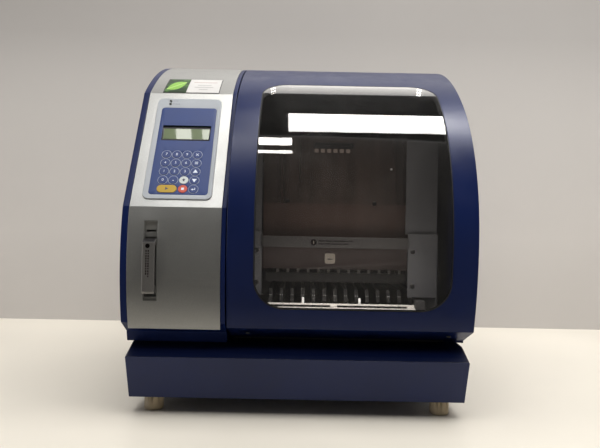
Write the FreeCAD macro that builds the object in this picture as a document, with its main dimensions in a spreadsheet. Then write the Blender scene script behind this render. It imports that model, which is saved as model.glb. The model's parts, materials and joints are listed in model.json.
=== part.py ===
import FreeCAD, Part
import math
import os
import Sketcher

# Automated bench-top nucleic-acid extraction instrument, one object per sub-part.
# Frame: origin on the bench under the middle of the instrument, +Z up, front faces -Y,
# control column on the -X side. Lengths in millimetres, angles in degrees.

os.makedirs("parts", exist_ok=True)
doc = FreeCAD.newDocument("extraction_instrument")
Vec = FreeCAD.Vector

SIZES = (
    ("body_width", 500, "overall width"),
    ("body_depth", 535, "overall depth, card guard to rear panel"),
    ("body_height", 573, "overall height"),
    ("guard_reach", 9, "card guard in front of the door belly"),
    ("crown_radius", 457, "side profile, top arc"),
    ("brow_radius", 270, "side profile, middle arc"),
    ("belly_radius", 450, "side profile, lower arc"),
    ("crown_turn", 42, "turn of the top arc"),
    ("skin_thick", 3, "door skin"),
    ("door_flange", 28, "depth of the door side flanges"),
    ("door_tail_angle", 92.4, "rear edge of the door on the top arc"),
    ("door_hem_angle", 16.6, "lower end of the lower arc"),
    ("hem_lip_depth", 71.5, "door hem lip behind the belly"),
    ("hem_lip_height", 105, "door hem lip above the bench"),
    ("seam_centre", -102.5, "seam between column and door"),
    ("seam_gap", 1.5, "gap at the seam"),
    ("panel_gap", 2, "gap between door flange and side panel"),
    ("hinge_depth", 385.5, "door axis behind the belly"),
    ("hinge_height", 560, "door axis above the bench"),
    ("hinge_pin_radius", 3, "door hinge pin"),
    ("hinge_knuckle_radius", 6, "door hinge knuckle"),
    ("running_gap", 0.05, "radial running clearance"),
    ("channel_depth", 398.5, "rear wall of the hinge channel behind the belly"),
    ("channel_floor", 545, "floor of the hinge channel"),
    ("window_left", -64, "window opening"),
    ("window_right", 214.5, "window opening"),
    ("window_top_angle", 121.8, "window opening on the top arc"),
    ("window_foot_angle", 12.84, "window opening on the lower arc"),
    ("window_corner", 43, "window opening corners"),
    ("gasket_width", 1.4, "gasket between window and frame"),
    ("gasket_lap", 6, "gasket lip behind the frame"),
    ("gasket_lip", 1.6, "gasket lip behind the window, from the opening edge"),
    ("crease_angle", 127.5, "upper crease of the column on the top arc"),
    ("panel_lean", 30.45, "lean of the control panel from the vertical"),
    ("panel_run", 211, "length of the control panel slope"),
    ("column_skin", 4.5, "column shell wall"),
    ("column_foot_depth", 12.1, "lower crease of the column behind the belly"),
    ("column_foot_height", 133, "lower crease of the column"),
    ("column_neck_height", 116, "lower end of the slope under the column"),
    ("column_front_radius", 330, "bow of the lower column front"),
    ("fascia_thick", 2, "silver fascia sheet"),
    ("fascia_tip_depth", 14.7, "lower edge of the fascia behind the belly"),
    ("fascia_tip_height", 124, "lower edge of the fascia"),
    ("fascia_left", -240.5, "silver fascia"),
    ("fascia_right", -110, "silver fascia"),
    ("plinth_width", 482, "plinth"),
    ("plinth_top", 101, "plinth deck"),
    ("plinth_foot", 23.5, "plinth underside"),
    ("plinth_wall", 3, "plinth wall"),
    ("foot_radius", 14, "feet"),
    ("foot_spread", 211, "feet off centre"),
    ("foot_front_depth", 56.5, "front feet behind the belly"),
    ("foot_rear_depth", 469.5, "rear feet behind the belly"),
    ("bezel_left", -225, "keypad bezel"),
    ("bezel_right", -126, "keypad bezel"),
    ("bezel_head", 12, "keypad bezel, down the slope from the crease"),
    ("bezel_tail", 199, "keypad bezel, down the slope from the crease"),
    ("bezel_thick", 5, "keypad bezel, tray and flange"),
    ("bezel_flange", 2, "bezel flange, proud of the slope"),
    ("overlay_left", -217, "keypad overlay"),
    ("overlay_right", -132, "keypad overlay"),
    ("overlay_head", 31, "keypad overlay, down the slope"),
    ("overlay_tail", 192, "keypad overlay, down the slope"),
    ("overlay_thick", 1.2, "keypad overlay"),
    ("display_left", -213, "display aperture"),
    ("display_right", -136, "display aperture"),
    ("display_head", 66, "display aperture, down the slope"),
    ("display_tail", 95, "display aperture, down the slope"),
    ("key_radius", 6.6, "round keys"),
    ("key_pitch", 15.2, "key spacing"),
    ("key_column", -198.9, "first key column"),
    ("key_row", 121.2, "first key row, down the slope"),
    ("key_gap", 0.2, "gap between key and overlay"),
    ("card_centre", -208.2, "card slot"),
    ("card_width", 19.8, "card recess"),
    ("card_foot", 164, "card recess lower end"),
    ("card_head", 277, "card recess upper end"),
    ("guard_width", 17, "card guard"),
    ("guard_foot", 176, "card guard lower end"),
    ("guard_head", 252, "card guard upper end"),
    ("chamber_left", -96, "inside of the left frame plate"),
    ("chamber_right", 219.7, "inside of the right frame plate"),
    ("frame_sheet", 2, "frame sheet"),
    ("back_wall_depth", 379.5, "front of the chamber back wall behind the belly"),
    ("deck_height", 133, "top of the worktable"),
    ("lane_centre", 70, "middle sample lane"),
    ("lane_pitch", 18, "lane spacing"),
    ("fin_width", 6, "rack fins between the lanes"),
    ("fin_top", 167, "rack fins above the bench"),
    ("nozzle_depth", 237.5, "nozzle row behind the belly"),
    ("nozzle_tip", 184, "nozzle tips above the bench"),
    ("nozzle_radius", 3, "nozzles"),
    ("barrel_radius", 3.5, "syringe bores"),
    ("rail_radius", 6, "travel rails"),
    ("rail_height", 430, "travel rails"),
    ("screw_radius", 5, "lead screws"),
    ("guide_radius", 4, "lift guide rods"),
    ("drive_x", 198, "right rail and travel screw"),
    ("idle_x", -78, "left rail"),
    ("lift_depth", 265.5, "lift screw behind the belly"),
    ("fan_size", 92, "cooling fan"),
    ("fan_x", 110, "cooling fan centre"),
    ("fan_z", 360, "cooling fan centre"),
)
LANES = 13


class Dim:
    """A length or angle together with the sheet formula that gives it."""

    def __init__(self, number, formula):
        self.number, self.formula = number, formula

    def __add__(self, other):
        return Dim(self.number + num(other), f"({self.formula} + {form(other)})")

    def __sub__(self, other):
        return Dim(self.number - num(other), f"({self.formula} - {form(other)})")

    def __mul__(self, other):
        return Dim(self.number * num(other), f"({self.formula} * {form(other)})")

    def __truediv__(self, other):
        return Dim(self.number / num(other), f"({self.formula} / {form(other)})")

    def __rsub__(self, other):
        return Dim(num(other) - self.number, f"({form(other)} - {self.formula})")

    def __rtruediv__(self, other):
        return Dim(num(other) / self.number, f"({form(other)} / {self.formula})")

    def __neg__(self):
        return Dim(-self.number, f"(0 - {self.formula})")

    __radd__ = __add__
    __rmul__ = __mul__


def num(q):
    return q.number if isinstance(q, Dim) else float(q)


def form(q):
    return q.formula if isinstance(q, Dim) else (f"{q}" if q >= 0 else f"(0 - {-q})")


def cosd(q):
    return Dim(math.cos(math.radians(num(q))), f"cos({form(q)})")


def sind(q):
    return Dim(math.sin(math.radians(num(q))), f"sin({form(q)})")


class Sheet:
    """The spreadsheet of driving dimensions; each alias is an attribute."""

    def __init__(self, rows):
        self.page = doc.addObject("Spreadsheet::Sheet", "dims")
        for row, (alias, number, note) in enumerate(rows, start=1):
            self.page.set(f"A{row}", alias)
            self.page.set(f"B{row}", str(number))
            self.page.set(f"C{row}", note)
            self.page.setAlias(f"B{row}", alias)
            setattr(self, alias, Dim(float(number), f"dims.{alias}"))


D = Sheet(SIZES)
doc.recompute()


# ---------------------------------------------------------------- building blocks

def bind(obj, prop, q):
    if isinstance(q, Dim):
        obj.setExpression(prop, q.formula)
    else:
        setattr(obj, prop, float(q))


def move(obj, x, y, z, turn=FreeCAD.Rotation()):
    obj.Placement = FreeCAD.Placement(Vec(num(x), num(y), num(z)), turn)
    for axis, q in zip("xyz", (x, y, z)):
        if isinstance(q, Dim):
            obj.setExpression(f"Placement.Base.{axis}", q.formula)


def box(x, y, z):
    """Block between (low, high) pairs."""
    block = doc.addObject("Part::Box", "block")
    for prop, (low, high) in zip(("Length", "Width", "Height"), (x, y, z)):
        bind(block, prop, high - low)
    move(block, x[0], y[0], z[0])
    return block


AIM = {"x": FreeCAD.Rotation(Vec(0, 1, 0), 90), "y": FreeCAD.Rotation(Vec(1, 0, 0), -90),
       "z": FreeCAD.Rotation()}


def rod(axis, x, y, z, radius, length):
    """Cylinder that starts at a point and runs along +x, +y or +z."""
    bar = doc.addObject("Part::Cylinder", "rod")
    bind(bar, "Radius", radius)
    bind(bar, "Height", length)
    move(bar, x, y, z, AIM[axis])
    return bar


def taper(axis, x, y, z, radius_low, radius_high, length):
    cone = doc.addObject("Part::Cone", "taper")
    bind(cone, "Radius1", radius_low)
    bind(cone, "Radius2", radius_high)
    bind(cone, "Height", length)
    move(cone, x, y, z, AIM[axis])
    return cone


def fuse(*pieces):
    joined = doc.addObject("Part::MultiFuse", "joined")
    joined.Shapes = list(pieces)
    joined.Refine = True
    return joined


def group(*pieces):
    bundle = doc.addObject("Part::Compound", "bundle")
    bundle.Links = list(pieces)
    return bundle


def cut(base, *tools):
    rest = doc.addObject("Part::Cut", "rest")
    rest.Base = base
    rest.Tool = tools[0] if len(tools) == 1 else group(*tools)
    return rest


def common(first, second):
    shared = doc.addObject("Part::Common", "shared")
    shared.Base, shared.Tool = first, second
    return shared


def arc_between(p, q, radius):
    """Circle arc from p to q; a positive radius keeps the centre on the left."""
    (ax, ay), (bx, by) = p, q
    span = math.hypot(bx - ax, by - ay)
    rise = math.sqrt(max(radius * radius - span * span / 4, 0.0)) * (1 if radius > 0 else -1)
    cx = (ax + bx) / 2 - (by - ay) / span * rise
    cy = (ay + by) / 2 + (bx - ax) / span * rise
    first, last = (p, q) if radius > 0 else (q, p)
    start = math.atan2(first[1] - cy, first[0] - cx)
    end = math.atan2(last[1] - cy, last[0] - cx)
    circle = Part.Circle(Vec(cx, cy, 0), Vec(0, 0, 1), abs(radius))
    return Part.ArcOfCircle(circle, start, end)


def hold(sk, kind, targets, q):
    index = sk.addConstraint(Sketcher.Constraint(kind, *targets, num(q)))
    if isinstance(q, Dim):
        sk.renameConstraint(index, f"size_{index}")
        sk.setExpression(f"Constraints.size_{index}", q.formula)


def draw_circle(sk, u, v, radius):
    index = sk.addGeometry(Part.Circle(Vec(num(u), num(v), 0), Vec(0, 0, 1), num(radius)), False)
    hold(sk, "DistanceX", (-1, 1, index, 3), u)
    hold(sk, "DistanceY", (-1, 1, index, 3), v)
    hold(sk, "Radius", (index,), radius)


def draw_outline(sk, corners):
    """Closed outline; a third item on a corner is the radius of the arc that follows it."""
    flat = [(num(c[0]), num(c[1])) for c in corners]
    ends = []
    for i, corner in enumerate(corners):
        p, q = flat[i], flat[(i + 1) % len(flat)]
        if len(corner) == 3:
            turned = num(corner[2]) < 0
            index = sk.addGeometry(arc_between(p, q, num(corner[2])), False)
            ends.append((index, 2, 1) if turned else (index, 1, 2))
            hold(sk, "Radius", (index,), -corner[2] if turned else corner[2])
        else:
            index = sk.addGeometry(Part.LineSegment(Vec(*p, 0), Vec(*q, 0)), False)
            ends.append((index, 1, 2))
    for i, (index, head, tail) in enumerate(ends):
        following = ends[(i + 1) % len(ends)]
        sk.addConstraint(Sketcher.Constraint("Coincident", index, tail, following[0], following[1]))
        hold(sk, "DistanceX", (-1, 1, index, head), corners[i][0])
        hold(sk, "DistanceY", (-1, 1, index, head), corners[i][1])


def add_pad(body, plane, loops, low, high):
    sk = body.newObject("Sketcher::SketchObject", "outline")
    role = {"XY": "XY_Plane", "XZ": "XZ_Plane", "YZ": "YZ_Plane"}[plane]
    origin = [f for f in body.Origin.OriginFeatures if f.Role == role][0]
    sk.AttachmentSupport = (origin, [""])
    sk.MapMode = "FlatFace"
    start = -high if plane == "XZ" else low
    sk.AttachmentOffset = FreeCAD.Placement(Vec(0, 0, num(start)), FreeCAD.Rotation())
    if isinstance(start, Dim):
        sk.setExpression("AttachmentOffset.Base.z", start.formula)
    for loop in loops:
        if loop[0] == "circle":
            draw_circle(sk, *loop[1:])
        else:
            draw_outline(sk, loop)
    pad = body.newObject("PartDesign::Pad", "pad")
    pad.Profile = sk
    bind(pad, "Length", high - low)
    sk.Visibility = False
    return pad


def prism(plane, loops, low, high):
    """Body padded from one sketch between two heights along the plane's axis."""
    body = doc.addObject("PartDesign::Body", "body")
    add_pad(body, plane, loops, low, high)
    return body


def soften(body, radius, chosen, kind="Fillet"):
    """Round or bevel the edges of a body that pass a test."""
    doc.recompute()
    tip = body.Tip
    names = [f"Edge{i}" for i, e in enumerate(tip.Shape.Edges, start=1) if chosen(e)]
    edge_cut = body.newObject(f"PartDesign::{kind}", "edges")
    edge_cut.Base = (tip, names)
    bind(edge_cut, "Radius" if kind == "Fillet" else "Size", radius)
    return body


def rectangle(u0, u1, v0, v1):
    return [(u0, v0), (u1, v0), (u1, v1), (u0, v1)]


def round_rectangle(u0, u1, v0, v1, r):
    return [(u0 + r, v0), (u1 - r, v0, r), (u1, v0 + r), (u1, v1 - r, r),
            (u1 - r, v1), (u0 + r, v1, r), (u0, v1 - r), (u0, v0 + r, r)]


# ---------------------------------------------------------------- shared geometry

half_width = D.body_width / 2
rear = D.body_depth / 2
belly = D.guard_reach - D.body_depth / 2
top = D.body_height


def back(depth):
    """y of a point a given depth behind the door belly."""
    return belly + depth


brow_angle = 90 + D.crown_turn
crown_y = belly + D.brow_radius - (D.crown_radius - D.brow_radius) * cosd(brow_angle)
crown_z = top - D.crown_radius
brow_y = belly + D.brow_radius
brow_z = crown_z + (D.crown_radius - D.brow_radius) * sind(brow_angle)
belly_y = belly + D.belly_radius


def on_crown(angle, inset):
    reach = D.crown_radius - inset
    return crown_y + reach * cosd(angle), crown_z + reach * sind(angle)


def on_brow(inset):
    return belly + inset, brow_z


def on_belly(angle, inset):
    reach = D.belly_radius - inset
    return belly_y - reach * cosd(angle), brow_z - reach * sind(angle)


def front_path(tail_angle, foot_angle, inset):
    """Corners from the top arc down to the lower arc, each with the radius that follows."""
    return [(*on_crown(tail_angle, inset), D.crown_radius - inset),
            (*on_crown(brow_angle, inset), D.brow_radius - inset),
            (*on_brow(inset), D.belly_radius - inset),
            on_belly(foot_angle, inset)]


def back_path(tail_angle, foot_angle, inset):
    """The same path from the lower arc up to the top arc."""
    return [(*on_belly(foot_angle, inset), inset - D.belly_radius),
            (*on_brow(inset), inset - D.brow_radius),
            (*on_crown(brow_angle, inset), inset - D.crown_radius),
            on_crown(tail_angle, inset)]


door_left = D.seam_centre + D.seam_gap / 2
column_right = D.seam_centre - D.seam_gap / 2
hem_lip = (back(D.hem_lip_depth), D.hem_lip_height)
hinge = (back(D.hinge_depth), D.hinge_height)

crease = on_crown(D.crease_angle, 0)
slope = (sind(D.panel_lean), cosd(D.panel_lean))
knee = (crease[0] - D.panel_run * slope[0], crease[1] - D.panel_run * slope[1])
column_foot = (back(D.column_foot_depth), D.column_foot_height)


FOOT_CORNER, FOOT_RUN = (0.848, 0.665), (0.96, 0.28)


def column_path(inset, foot=FOOT_CORNER):
    """Column front from the top arc down to the lower crease, moved inwards."""
    return [(crown_y, top - inset, D.crown_radius - inset),
            on_crown(D.crease_angle, inset),
            (knee[0] + inset * 0.932, knee[1] - inset * 0.388, D.column_front_radius - inset),
            (column_foot[0] + inset * foot[0], column_foot[1] + inset * foot[1])]


def column_outline(inset):
    neck = (back(41.5) + inset * 0.86, D.column_neck_height + inset * 0.66)
    return column_path(inset) + [neck, (back(45.5) + inset, D.plinth_top - inset),
                                 (rear - 2.5 + inset, D.plinth_top - inset),
                                 (rear - 2.5 + inset, top - inset)]


def panel_prism(loops, low, high):
    """Prism on the leaning control panel: u is x, v runs up the slope from the crease, and
    heights start at the bottom of the sunken keypad tray."""
    body = prism("XY", loops, low, high)
    place_on_panel(body)
    return body


def place_on_panel(body):
    sink = D.bezel_thick - D.bezel_flange
    move(body, 0, crease[0] + sink * slope[1], crease[1] - sink * slope[0],
         FreeCAD.Rotation(Vec(1, 0, 0), 90 - num(D.panel_lean)))
    body.setExpression("Placement.Rotation.Angle", (90 - D.panel_lean).formula)


def window_slab(grow, outer, inner, rounded=True):
    """Curved pane of the window opening, grown outwards all round."""
    swing = grow * (180 / math.pi)
    tail = D.window_top_angle - swing / D.crown_radius
    foot = D.window_foot_angle + swing / D.belly_radius
    loop = front_path(tail, foot, outer) + back_path(tail, foot, inner)
    body = prism("YZ", [loop], D.window_left - grow, D.window_right + grow)
    thick = num(inner) - num(outer)
    if not rounded:
        return body

    def across(edge):
        ends = [v.Point for v in edge.Vertexes]
        return (len(ends) == 2 and abs(ends[0].x - ends[1].x) < 1e-6
                and abs(edge.Length - thick) < 1e-4)

    return soften(body, D.window_corner + grow, across)


# ---------------------------------------------------------------- base

def plinth():
    def section(wall):
        return [(back(28) + wall, D.plinth_foot + wall), (back(514) - wall, D.plinth_foot + wall),
                (back(521) - wall, D.plinth_top - wall), (back(45.5) + wall, D.plinth_top - wall),
                (back(3.5) + wall * 1.3, 86.5 - wall * 0.6)]

    half = D.plinth_width / 2
    outer = prism("YZ", [section(0)], -half, half)
    inner = prism("YZ", [section(D.plinth_wall)], D.plinth_wall - half, half - D.plinth_wall)
    deck_cut = box((-92, 210), (back(120), back(360)), (90, 110))
    column_cut = box((-230, -116), (back(90), back(480)), (90, 110))
    vents = [box((x, x + 60), (back(150 + 22 * row), back(158 + 22 * row)), (20, 30))
             for x in (-170, 110) for row in range(9)]
    return cut(outer, inner, deck_cut, column_cut, *vents)


def feet():
    spots = [(sx * D.foot_spread, back(depth)) for sx in (-1, 1)
             for depth in (D.foot_front_depth, D.foot_rear_depth)]
    pads = prism("XY", [("circle", x, y, D.foot_radius) for x, y in spots], 0, D.plinth_foot)
    return soften(pads, 1.5, lambda e: e.BoundBox.ZMax < 0.01 and len(e.Vertexes) == 1, "Chamfer")


# ---------------------------------------------------------------- column

def panel_window(left, right, head, tail, low, high, r=4):
    return panel_prism([round_rectangle(left, right, -tail, -head, r)], low, high)


def panel_opening():
    return panel_window(-221, -130, 14.5, 195, -9, D.bezel_thick + 1)


def card_box(spread, low, high):
    half = D.card_width / 2 + spread
    return box((D.card_centre - half, D.card_centre + half), (back(low), back(high)),
               (D.card_foot - spread, D.card_head + spread))


def column_shell():
    outer = prism("YZ", [column_outline(0)], -half_width, column_right)
    inner = prism("YZ", [column_outline(D.column_skin)], 3 - half_width, column_right - 3)
    seat = prism("YZ", [fascia_loop(-1.5, D.fascia_thick)],
                 D.fascia_left - 0.3, D.fascia_right + 0.3)
    ledge = box((3 - half_width, -215), (back(70), rear - 2.5), (D.plinth_top, D.plinth_top + 2))
    shell = cut(outer, inner, seat, panel_opening(),
                card_box(0, -4, 24))
    return fuse(shell, ledge)


def fascia_run(inset):
    """Fascia surface; it hangs below the crease of the shell."""
    along, up = FOOT_RUN
    tip = (back(D.fascia_tip_depth) + inset * along, D.fascia_tip_height + inset * up)
    return column_path(inset, FOOT_RUN) + [tip]


def fascia_loop(outer, inner):
    tail_y = crown_y + 40
    down, up = fascia_run(outer), fascia_run(inner)[::-1]
    up = [up[0], up[1] + (inner - D.column_front_radius,), up[2][:2],
          up[3] + (inner - D.crown_radius,), up[4][:2]]
    return [(tail_y, top - outer)] + down + up + [(tail_y, top - inner)]


def column_fascia():
    sheet = prism("YZ", [fascia_loop(0, D.fascia_thick)], D.fascia_left, D.fascia_right)
    return cut(sheet, panel_opening(), card_box(0, -4, 24))


def keypad_bezel():
    seat = D.bezel_thick - D.overlay_thick
    flange_foot = D.bezel_thick - D.bezel_flange
    plate = panel_prism([round_rectangle(D.bezel_left, D.bezel_right,
                                         -D.bezel_tail, -D.bezel_head, 9)],
                        flange_foot, D.bezel_thick)
    soften(plate, 1.2, lambda e: e.BoundBox.ZMin > num(D.bezel_thick) - 0.01)
    sunk = panel_window(-220.8, -130.2, 14.7, 194.8, 0, flange_foot, 3.8)
    tray = panel_window(D.overlay_left, D.overlay_right, D.overlay_head, D.overlay_tail,
                        seat, D.bezel_thick + 1, 5)
    throat = panel_window(-213, -136, 36, 190.5, -1, D.bezel_thick)
    lamps = panel_prism([("circle", -205, -17.5, 1.6), ("circle", -205, -23.5, 1.6)],
                        -1, D.bezel_thick + 1)
    return cut(fuse(plate, sunk), tray, throat, lamps)


KEY_GRID = (("key_7", "key_8", "key_9", "key_escape"), ("key_4", "key_5", "key_6", "key_mode"),
            ("key_1", "key_2", "key_3", "key_up"), ("key_0", "key_point", "key_shift", "key_down"),
            (None, None, "key_stop", "key_enter"))


def key_spot(row, column):
    return D.key_column + D.key_pitch * column, -(D.key_row + D.key_pitch * row)


def key_outline(row, column, grow):
    u, v = key_spot(row, column)
    return [("circle", u, v, D.key_radius + grow)]


def start_outline(grow):
    u, v = key_spot(4, 0.5)
    half = D.key_pitch / 2 + D.key_radius + grow
    r = D.key_radius + grow - 0.2
    return [round_rectangle(u - half, u + half, v - r, v + r, r - 0.1)]


def keypad_overlay():
    low = D.bezel_thick - D.overlay_thick
    sheet = panel_prism([round_rectangle(D.overlay_left + 0.2, D.overlay_right - 0.2,
                                         0.2 - D.overlay_tail, -D.overlay_head - 0.2, 4.8)],
                        low, D.bezel_thick)
    holes = [panel_window(D.display_left + 2, D.display_right - 2, D.display_head,
                          D.display_tail, low - 1, D.bezel_thick + 1, 1.5)]
    loops = list(start_outline(D.key_gap))
    for row, names in enumerate(KEY_GRID):
        for column, name in enumerate(names):
            if name:
                loops += key_outline(row, column, D.key_gap)
    holes.append(panel_prism(loops, low - 1, D.bezel_thick + 1))
    return cut(sheet, *holes)


def key(outline):
    body = doc.addObject("PartDesign::Body", "cap")
    add_pad(body, "XY", outline(0.4), 2.2, 3.2)
    add_pad(body, "XY", outline(0), 3.2, D.bezel_thick + 0.7)
    high = num(D.bezel_thick) + 0.7
    soften(body, 0.4, lambda e: e.BoundBox.ZMin > high - 0.01)
    place_on_panel(body)
    return body


def display_module():
    left, right = D.display_left + 0.5, D.display_right - 0.5
    low, high = -D.display_tail + 0.5, -D.display_head - 0.5
    case = panel_prism([rectangle(left, right, low, high)], -2.2, 3)
    view = panel_window(left + 3.5, right - 3.5, -high + 4, -low - 4, 2, 4, 1)
    return cut(case, view)


def circuit_boards():
    panel_board = panel_prism([rectangle(-218.5, -131.5, -193, -16)], -4, -2.4)
    posts = panel_prism([("circle", u, v, 2) for u in (-216, -134) for v in (-40, -188)],
                        -2.4, 0)
    lamps = panel_prism([("circle", -205, -17.5, 1.5), ("circle", -205, -23.5, 1.5)], -2.4, 5.4)
    main_board = box((-112, -110.4), (back(150), back(400)), (190, 400))
    chips = [box((-118, -112), (back(170 + 55 * i), back(200 + 55 * i)), (220 + 40 * j, 245 + 40 * j))
             for i in range(4) for j in range(4)]
    return group(fuse(panel_board, posts, lamps), fuse(main_board, *chips))


def card_slot_housing():
    inside = D.card_width / 2 - 1
    body = common(card_box(-0.1, -6, 34), prism("YZ", [column_outline(0.4)], -220, -190))
    across = (D.card_centre - inside, D.card_centre + inside)
    recess = box(across, (back(-8), back(8)), (D.card_foot + 1.4, D.card_head - 1.4))
    well = box(across, (back(-8), back(16)), (D.guard_foot - 6, D.guard_head + 2))
    mouth = box((D.card_centre - 6.5, D.card_centre + 6.5), (back(7), back(31)), (261, 264))
    return cut(body, recess, well, mouth)


def guard_axis():
    return back(6), D.guard_foot + 4


def card_guard():
    """Bent metal guard on a pin across the lower end of the recess."""
    y, z = guard_axis()
    half = D.guard_width / 2
    front = -D.guard_reach
    plate = prism("YZ", [[(back(front), D.guard_foot + 6), (back(front + 3), D.guard_foot),
                          (back(2), D.guard_foot - 0.5), (back(8), D.guard_foot), (back(10), z),
                          (back(4), z + 6), (back(front + 5), z + 9),
                          (back(front + 5), D.guard_head - 10), (back(11), D.guard_head - 1),
                          (back(11), D.guard_head), (back(0), D.guard_head),
                          (back(front), D.guard_head - 4.5)]],
                  D.card_centre - half, D.card_centre + half)
    pin_hole = rod("x", D.card_centre - half - 1, y, z, 1.5 + D.running_gap, D.guard_width + 2)
    return cut(plate, pin_hole)


def card_pin():
    y, z = guard_axis()
    span = D.card_width - 2
    return rod("x", D.card_centre - span / 2, y, z, 1.5, span)


# ---------------------------------------------------------------- fixed covers

def right_side_panel():
    inset = D.door_flange + D.panel_gap
    foot = on_belly(D.door_hem_angle, inset)
    edge = front_path(90, D.door_hem_angle, inset)
    outline = [(rear - 2.5, D.plinth_top), (rear - 2.5, top), (back(D.channel_depth), top),
               (back(D.channel_depth), top - inset)] + edge[:3] + [
        foot, (hem_lip[0] + 2.6, hem_lip[1] + 1.5), (hem_lip[0] + 2.6, D.plinth_top)]
    panel = prism("YZ", [outline], half_width - 3, half_width)
    ledge = box((222, half_width - 3), (back(84), rear - 2.5), (D.plinth_top, D.plinth_top + 2))
    sill = box((236, half_width - 3), (back(75), back(84)), (D.plinth_top, D.plinth_top + 5))
    lip = box((236, half_width - 3), (back(D.channel_depth + 2), rear - 2.5), (top - 4.5, top - 2.5))
    return fuse(panel, ledge, sill, lip)


def top_cover():
    wall = back(D.channel_depth)
    lid = box((column_right + 1.5, half_width - 3), (wall, rear - 2.5), (top - 2.5, top))
    drop = box((-98, 246), (wall, wall + 2), (D.channel_floor + 2, top - 2.5))
    floor = box((-98, 246), (back(366), wall + 2), (D.channel_floor, D.channel_floor + 2))
    ribs = [box((x, x + 4), (wall + 2, rear - 4), (top - 10, top - 2.5)) for x in (-60, 75, 205)]
    seats = [rod("z", x, back(depth), top - 1.2, 3.4, 2) for x in (-85, 235)
             for depth in (418, 500)]
    return cut(fuse(lid, drop, floor, *ribs), *seats)


def rear_panel():
    face = box((2 - half_width, half_width - 2), (rear - 2.5, rear), (D.plinth_top, top - 2))
    slots = [box((x, x + 70), (rear - 4, rear + 1), (440 + 14 * i, 446 + 14 * i))
             for x in (-210, -110, 60, 150) for i in range(7)]
    low_slots = [box((60 + 22 * i, 70 + 22 * i), (rear - 4, rear + 1), (130, 230)) for i in range(7)]
    guard = [rod("y", D.fan_x + px * 9.5, rear - 4, D.fan_z + pz * 9.5, 3.7, 6)
             for px in range(-4, 5) for pz in range(-4, 5) if px * px + pz * pz < 17]
    inlet = box((-80, -20), (rear - 4, rear + 1), (130, 166))
    ports = [box((-170, -130), (rear - 4, rear + 1), (150, 162)),
             box((-170, -150), (rear - 4, rear + 1), (175, 190))]
    seats = [rod("y", x, rear - 1.2, z, 3.4, 3) for x in (-236, -100, 100, 236)
             for z in (116, 552)]
    return cut(face, *slots, *low_slots, *guard, inlet, *ports, *seats)


def machine_screws():
    heads = []
    for x, z in ((181, 234.8), (181, 179.8), (-68, 233.2), (-68.5, 182.2)):
        heads.append(rod("y", x, back(126.6), z, 3.6, 1.9))
    for x in (-236, -100, 100, 236):
        for z in (116, 552):
            heads.append(rod("y", x, rear - 1.2, z, 3.4, 1.2))
    for x in (-85, 235):
        for depth in (418, 500):
            heads.append(rod("z", x, back(depth), top - 1.2, 3.4, 1.2))
    return group(*heads)


# ---------------------------------------------------------------- door

def door_outline():
    hem = on_belly(D.door_hem_angle, 0)
    inner_hem = on_belly(D.door_hem_angle - 0.3, D.skin_thick)
    outer = front_path(D.door_tail_angle, D.door_hem_angle, 0)
    inner = back_path(D.door_tail_angle, D.door_hem_angle - 0.3, D.skin_thick)
    lip_inner = (hem_lip[0] + 1.1, hem_lip[1] + 2.8)
    return outer[:3] + [hem, hem_lip, lip_inner] + [(*inner_hem, inner[0][2])] + inner[1:]


def flange_outline():
    hem = on_belly(D.door_hem_angle, 0)
    outer = front_path(D.door_tail_angle, D.door_hem_angle, 0)
    inner = back_path(D.door_tail_angle, D.door_hem_angle, D.door_flange)
    return outer[:3] + [hem, hem_lip] + inner


def door_frame():
    skin = prism("YZ", [door_outline()], door_left, half_width)
    left = prism("YZ", [flange_outline()], door_left, door_left + D.skin_thick)
    right = prism("YZ", [flange_outline()], half_width - D.skin_thick, half_width)
    return cut(fuse(skin, left, right), window_slab(0, -4, 12))


def door_window():
    return window_slab(-D.gasket_width, 0.3, D.skin_thick)


def window_gasket():
    skin, lap = D.skin_thick, D.gasket_lap
    ring = fuse(window_slab(0, 0.1, skin), window_slab(lap, skin, skin + 1.5, False))
    return cut(ring, window_slab(-D.gasket_width, -2, skin),
               window_slab(-D.gasket_lip, skin - 0.5, skin + 4))


HINGE_SPANS = ((-70, -40), (185, 215))


def door_hinges():
    arms = []
    for left, right in HINGE_SPANS:
        leaf = prism("YZ", [front_leaf()], left, right)
        web = box((left, right), (hinge[0] - 20, hinge[0]), (hinge[1], hinge[1] + 6))
        knuckle = rod("x", left, hinge[0], hinge[1], D.hinge_knuckle_radius, right - left)
        bore = rod("x", left - 1, hinge[0], hinge[1], D.hinge_pin_radius + D.running_gap,
                   right - left + 2)
        arms.append(cut(fuse(leaf, web, knuckle), bore))
    return group(*arms)


def front_leaf():
    tail, foot = 93.2, 102
    upper, lower = D.skin_thick, D.skin_thick + 3.5
    return [(*on_crown(tail, upper), D.crown_radius - upper), on_crown(foot, upper),
            (*on_crown(foot, lower), lower - D.crown_radius), on_crown(tail, lower)]


def hinge_pins():
    stands = []
    for left, right in HINGE_SPANS:
        pin = rod("x", left - 6, hinge[0], hinge[1], D.hinge_pin_radius, right - left + 12)
        lugs = [box((x, x + 5), (hinge[0] - 7, hinge[0] + 7), (D.channel_floor + 2, hinge[1] + 5))
                for x in (left - 6, right + 1)]
        stands.append(fuse(pin, *lugs))
    return group(*stands)


# ---------------------------------------------------------------- chamber

def frame_side():
    return [(back(130.5), D.plinth_top), (back(130.5), 263), (back(140.5), 263),
            (back(140.5), 475), (back(207.5), 512), (back(360), 541),
            (back(D.back_wall_depth), 541), (back(D.back_wall_depth), D.plinth_top)][::-1]


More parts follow.
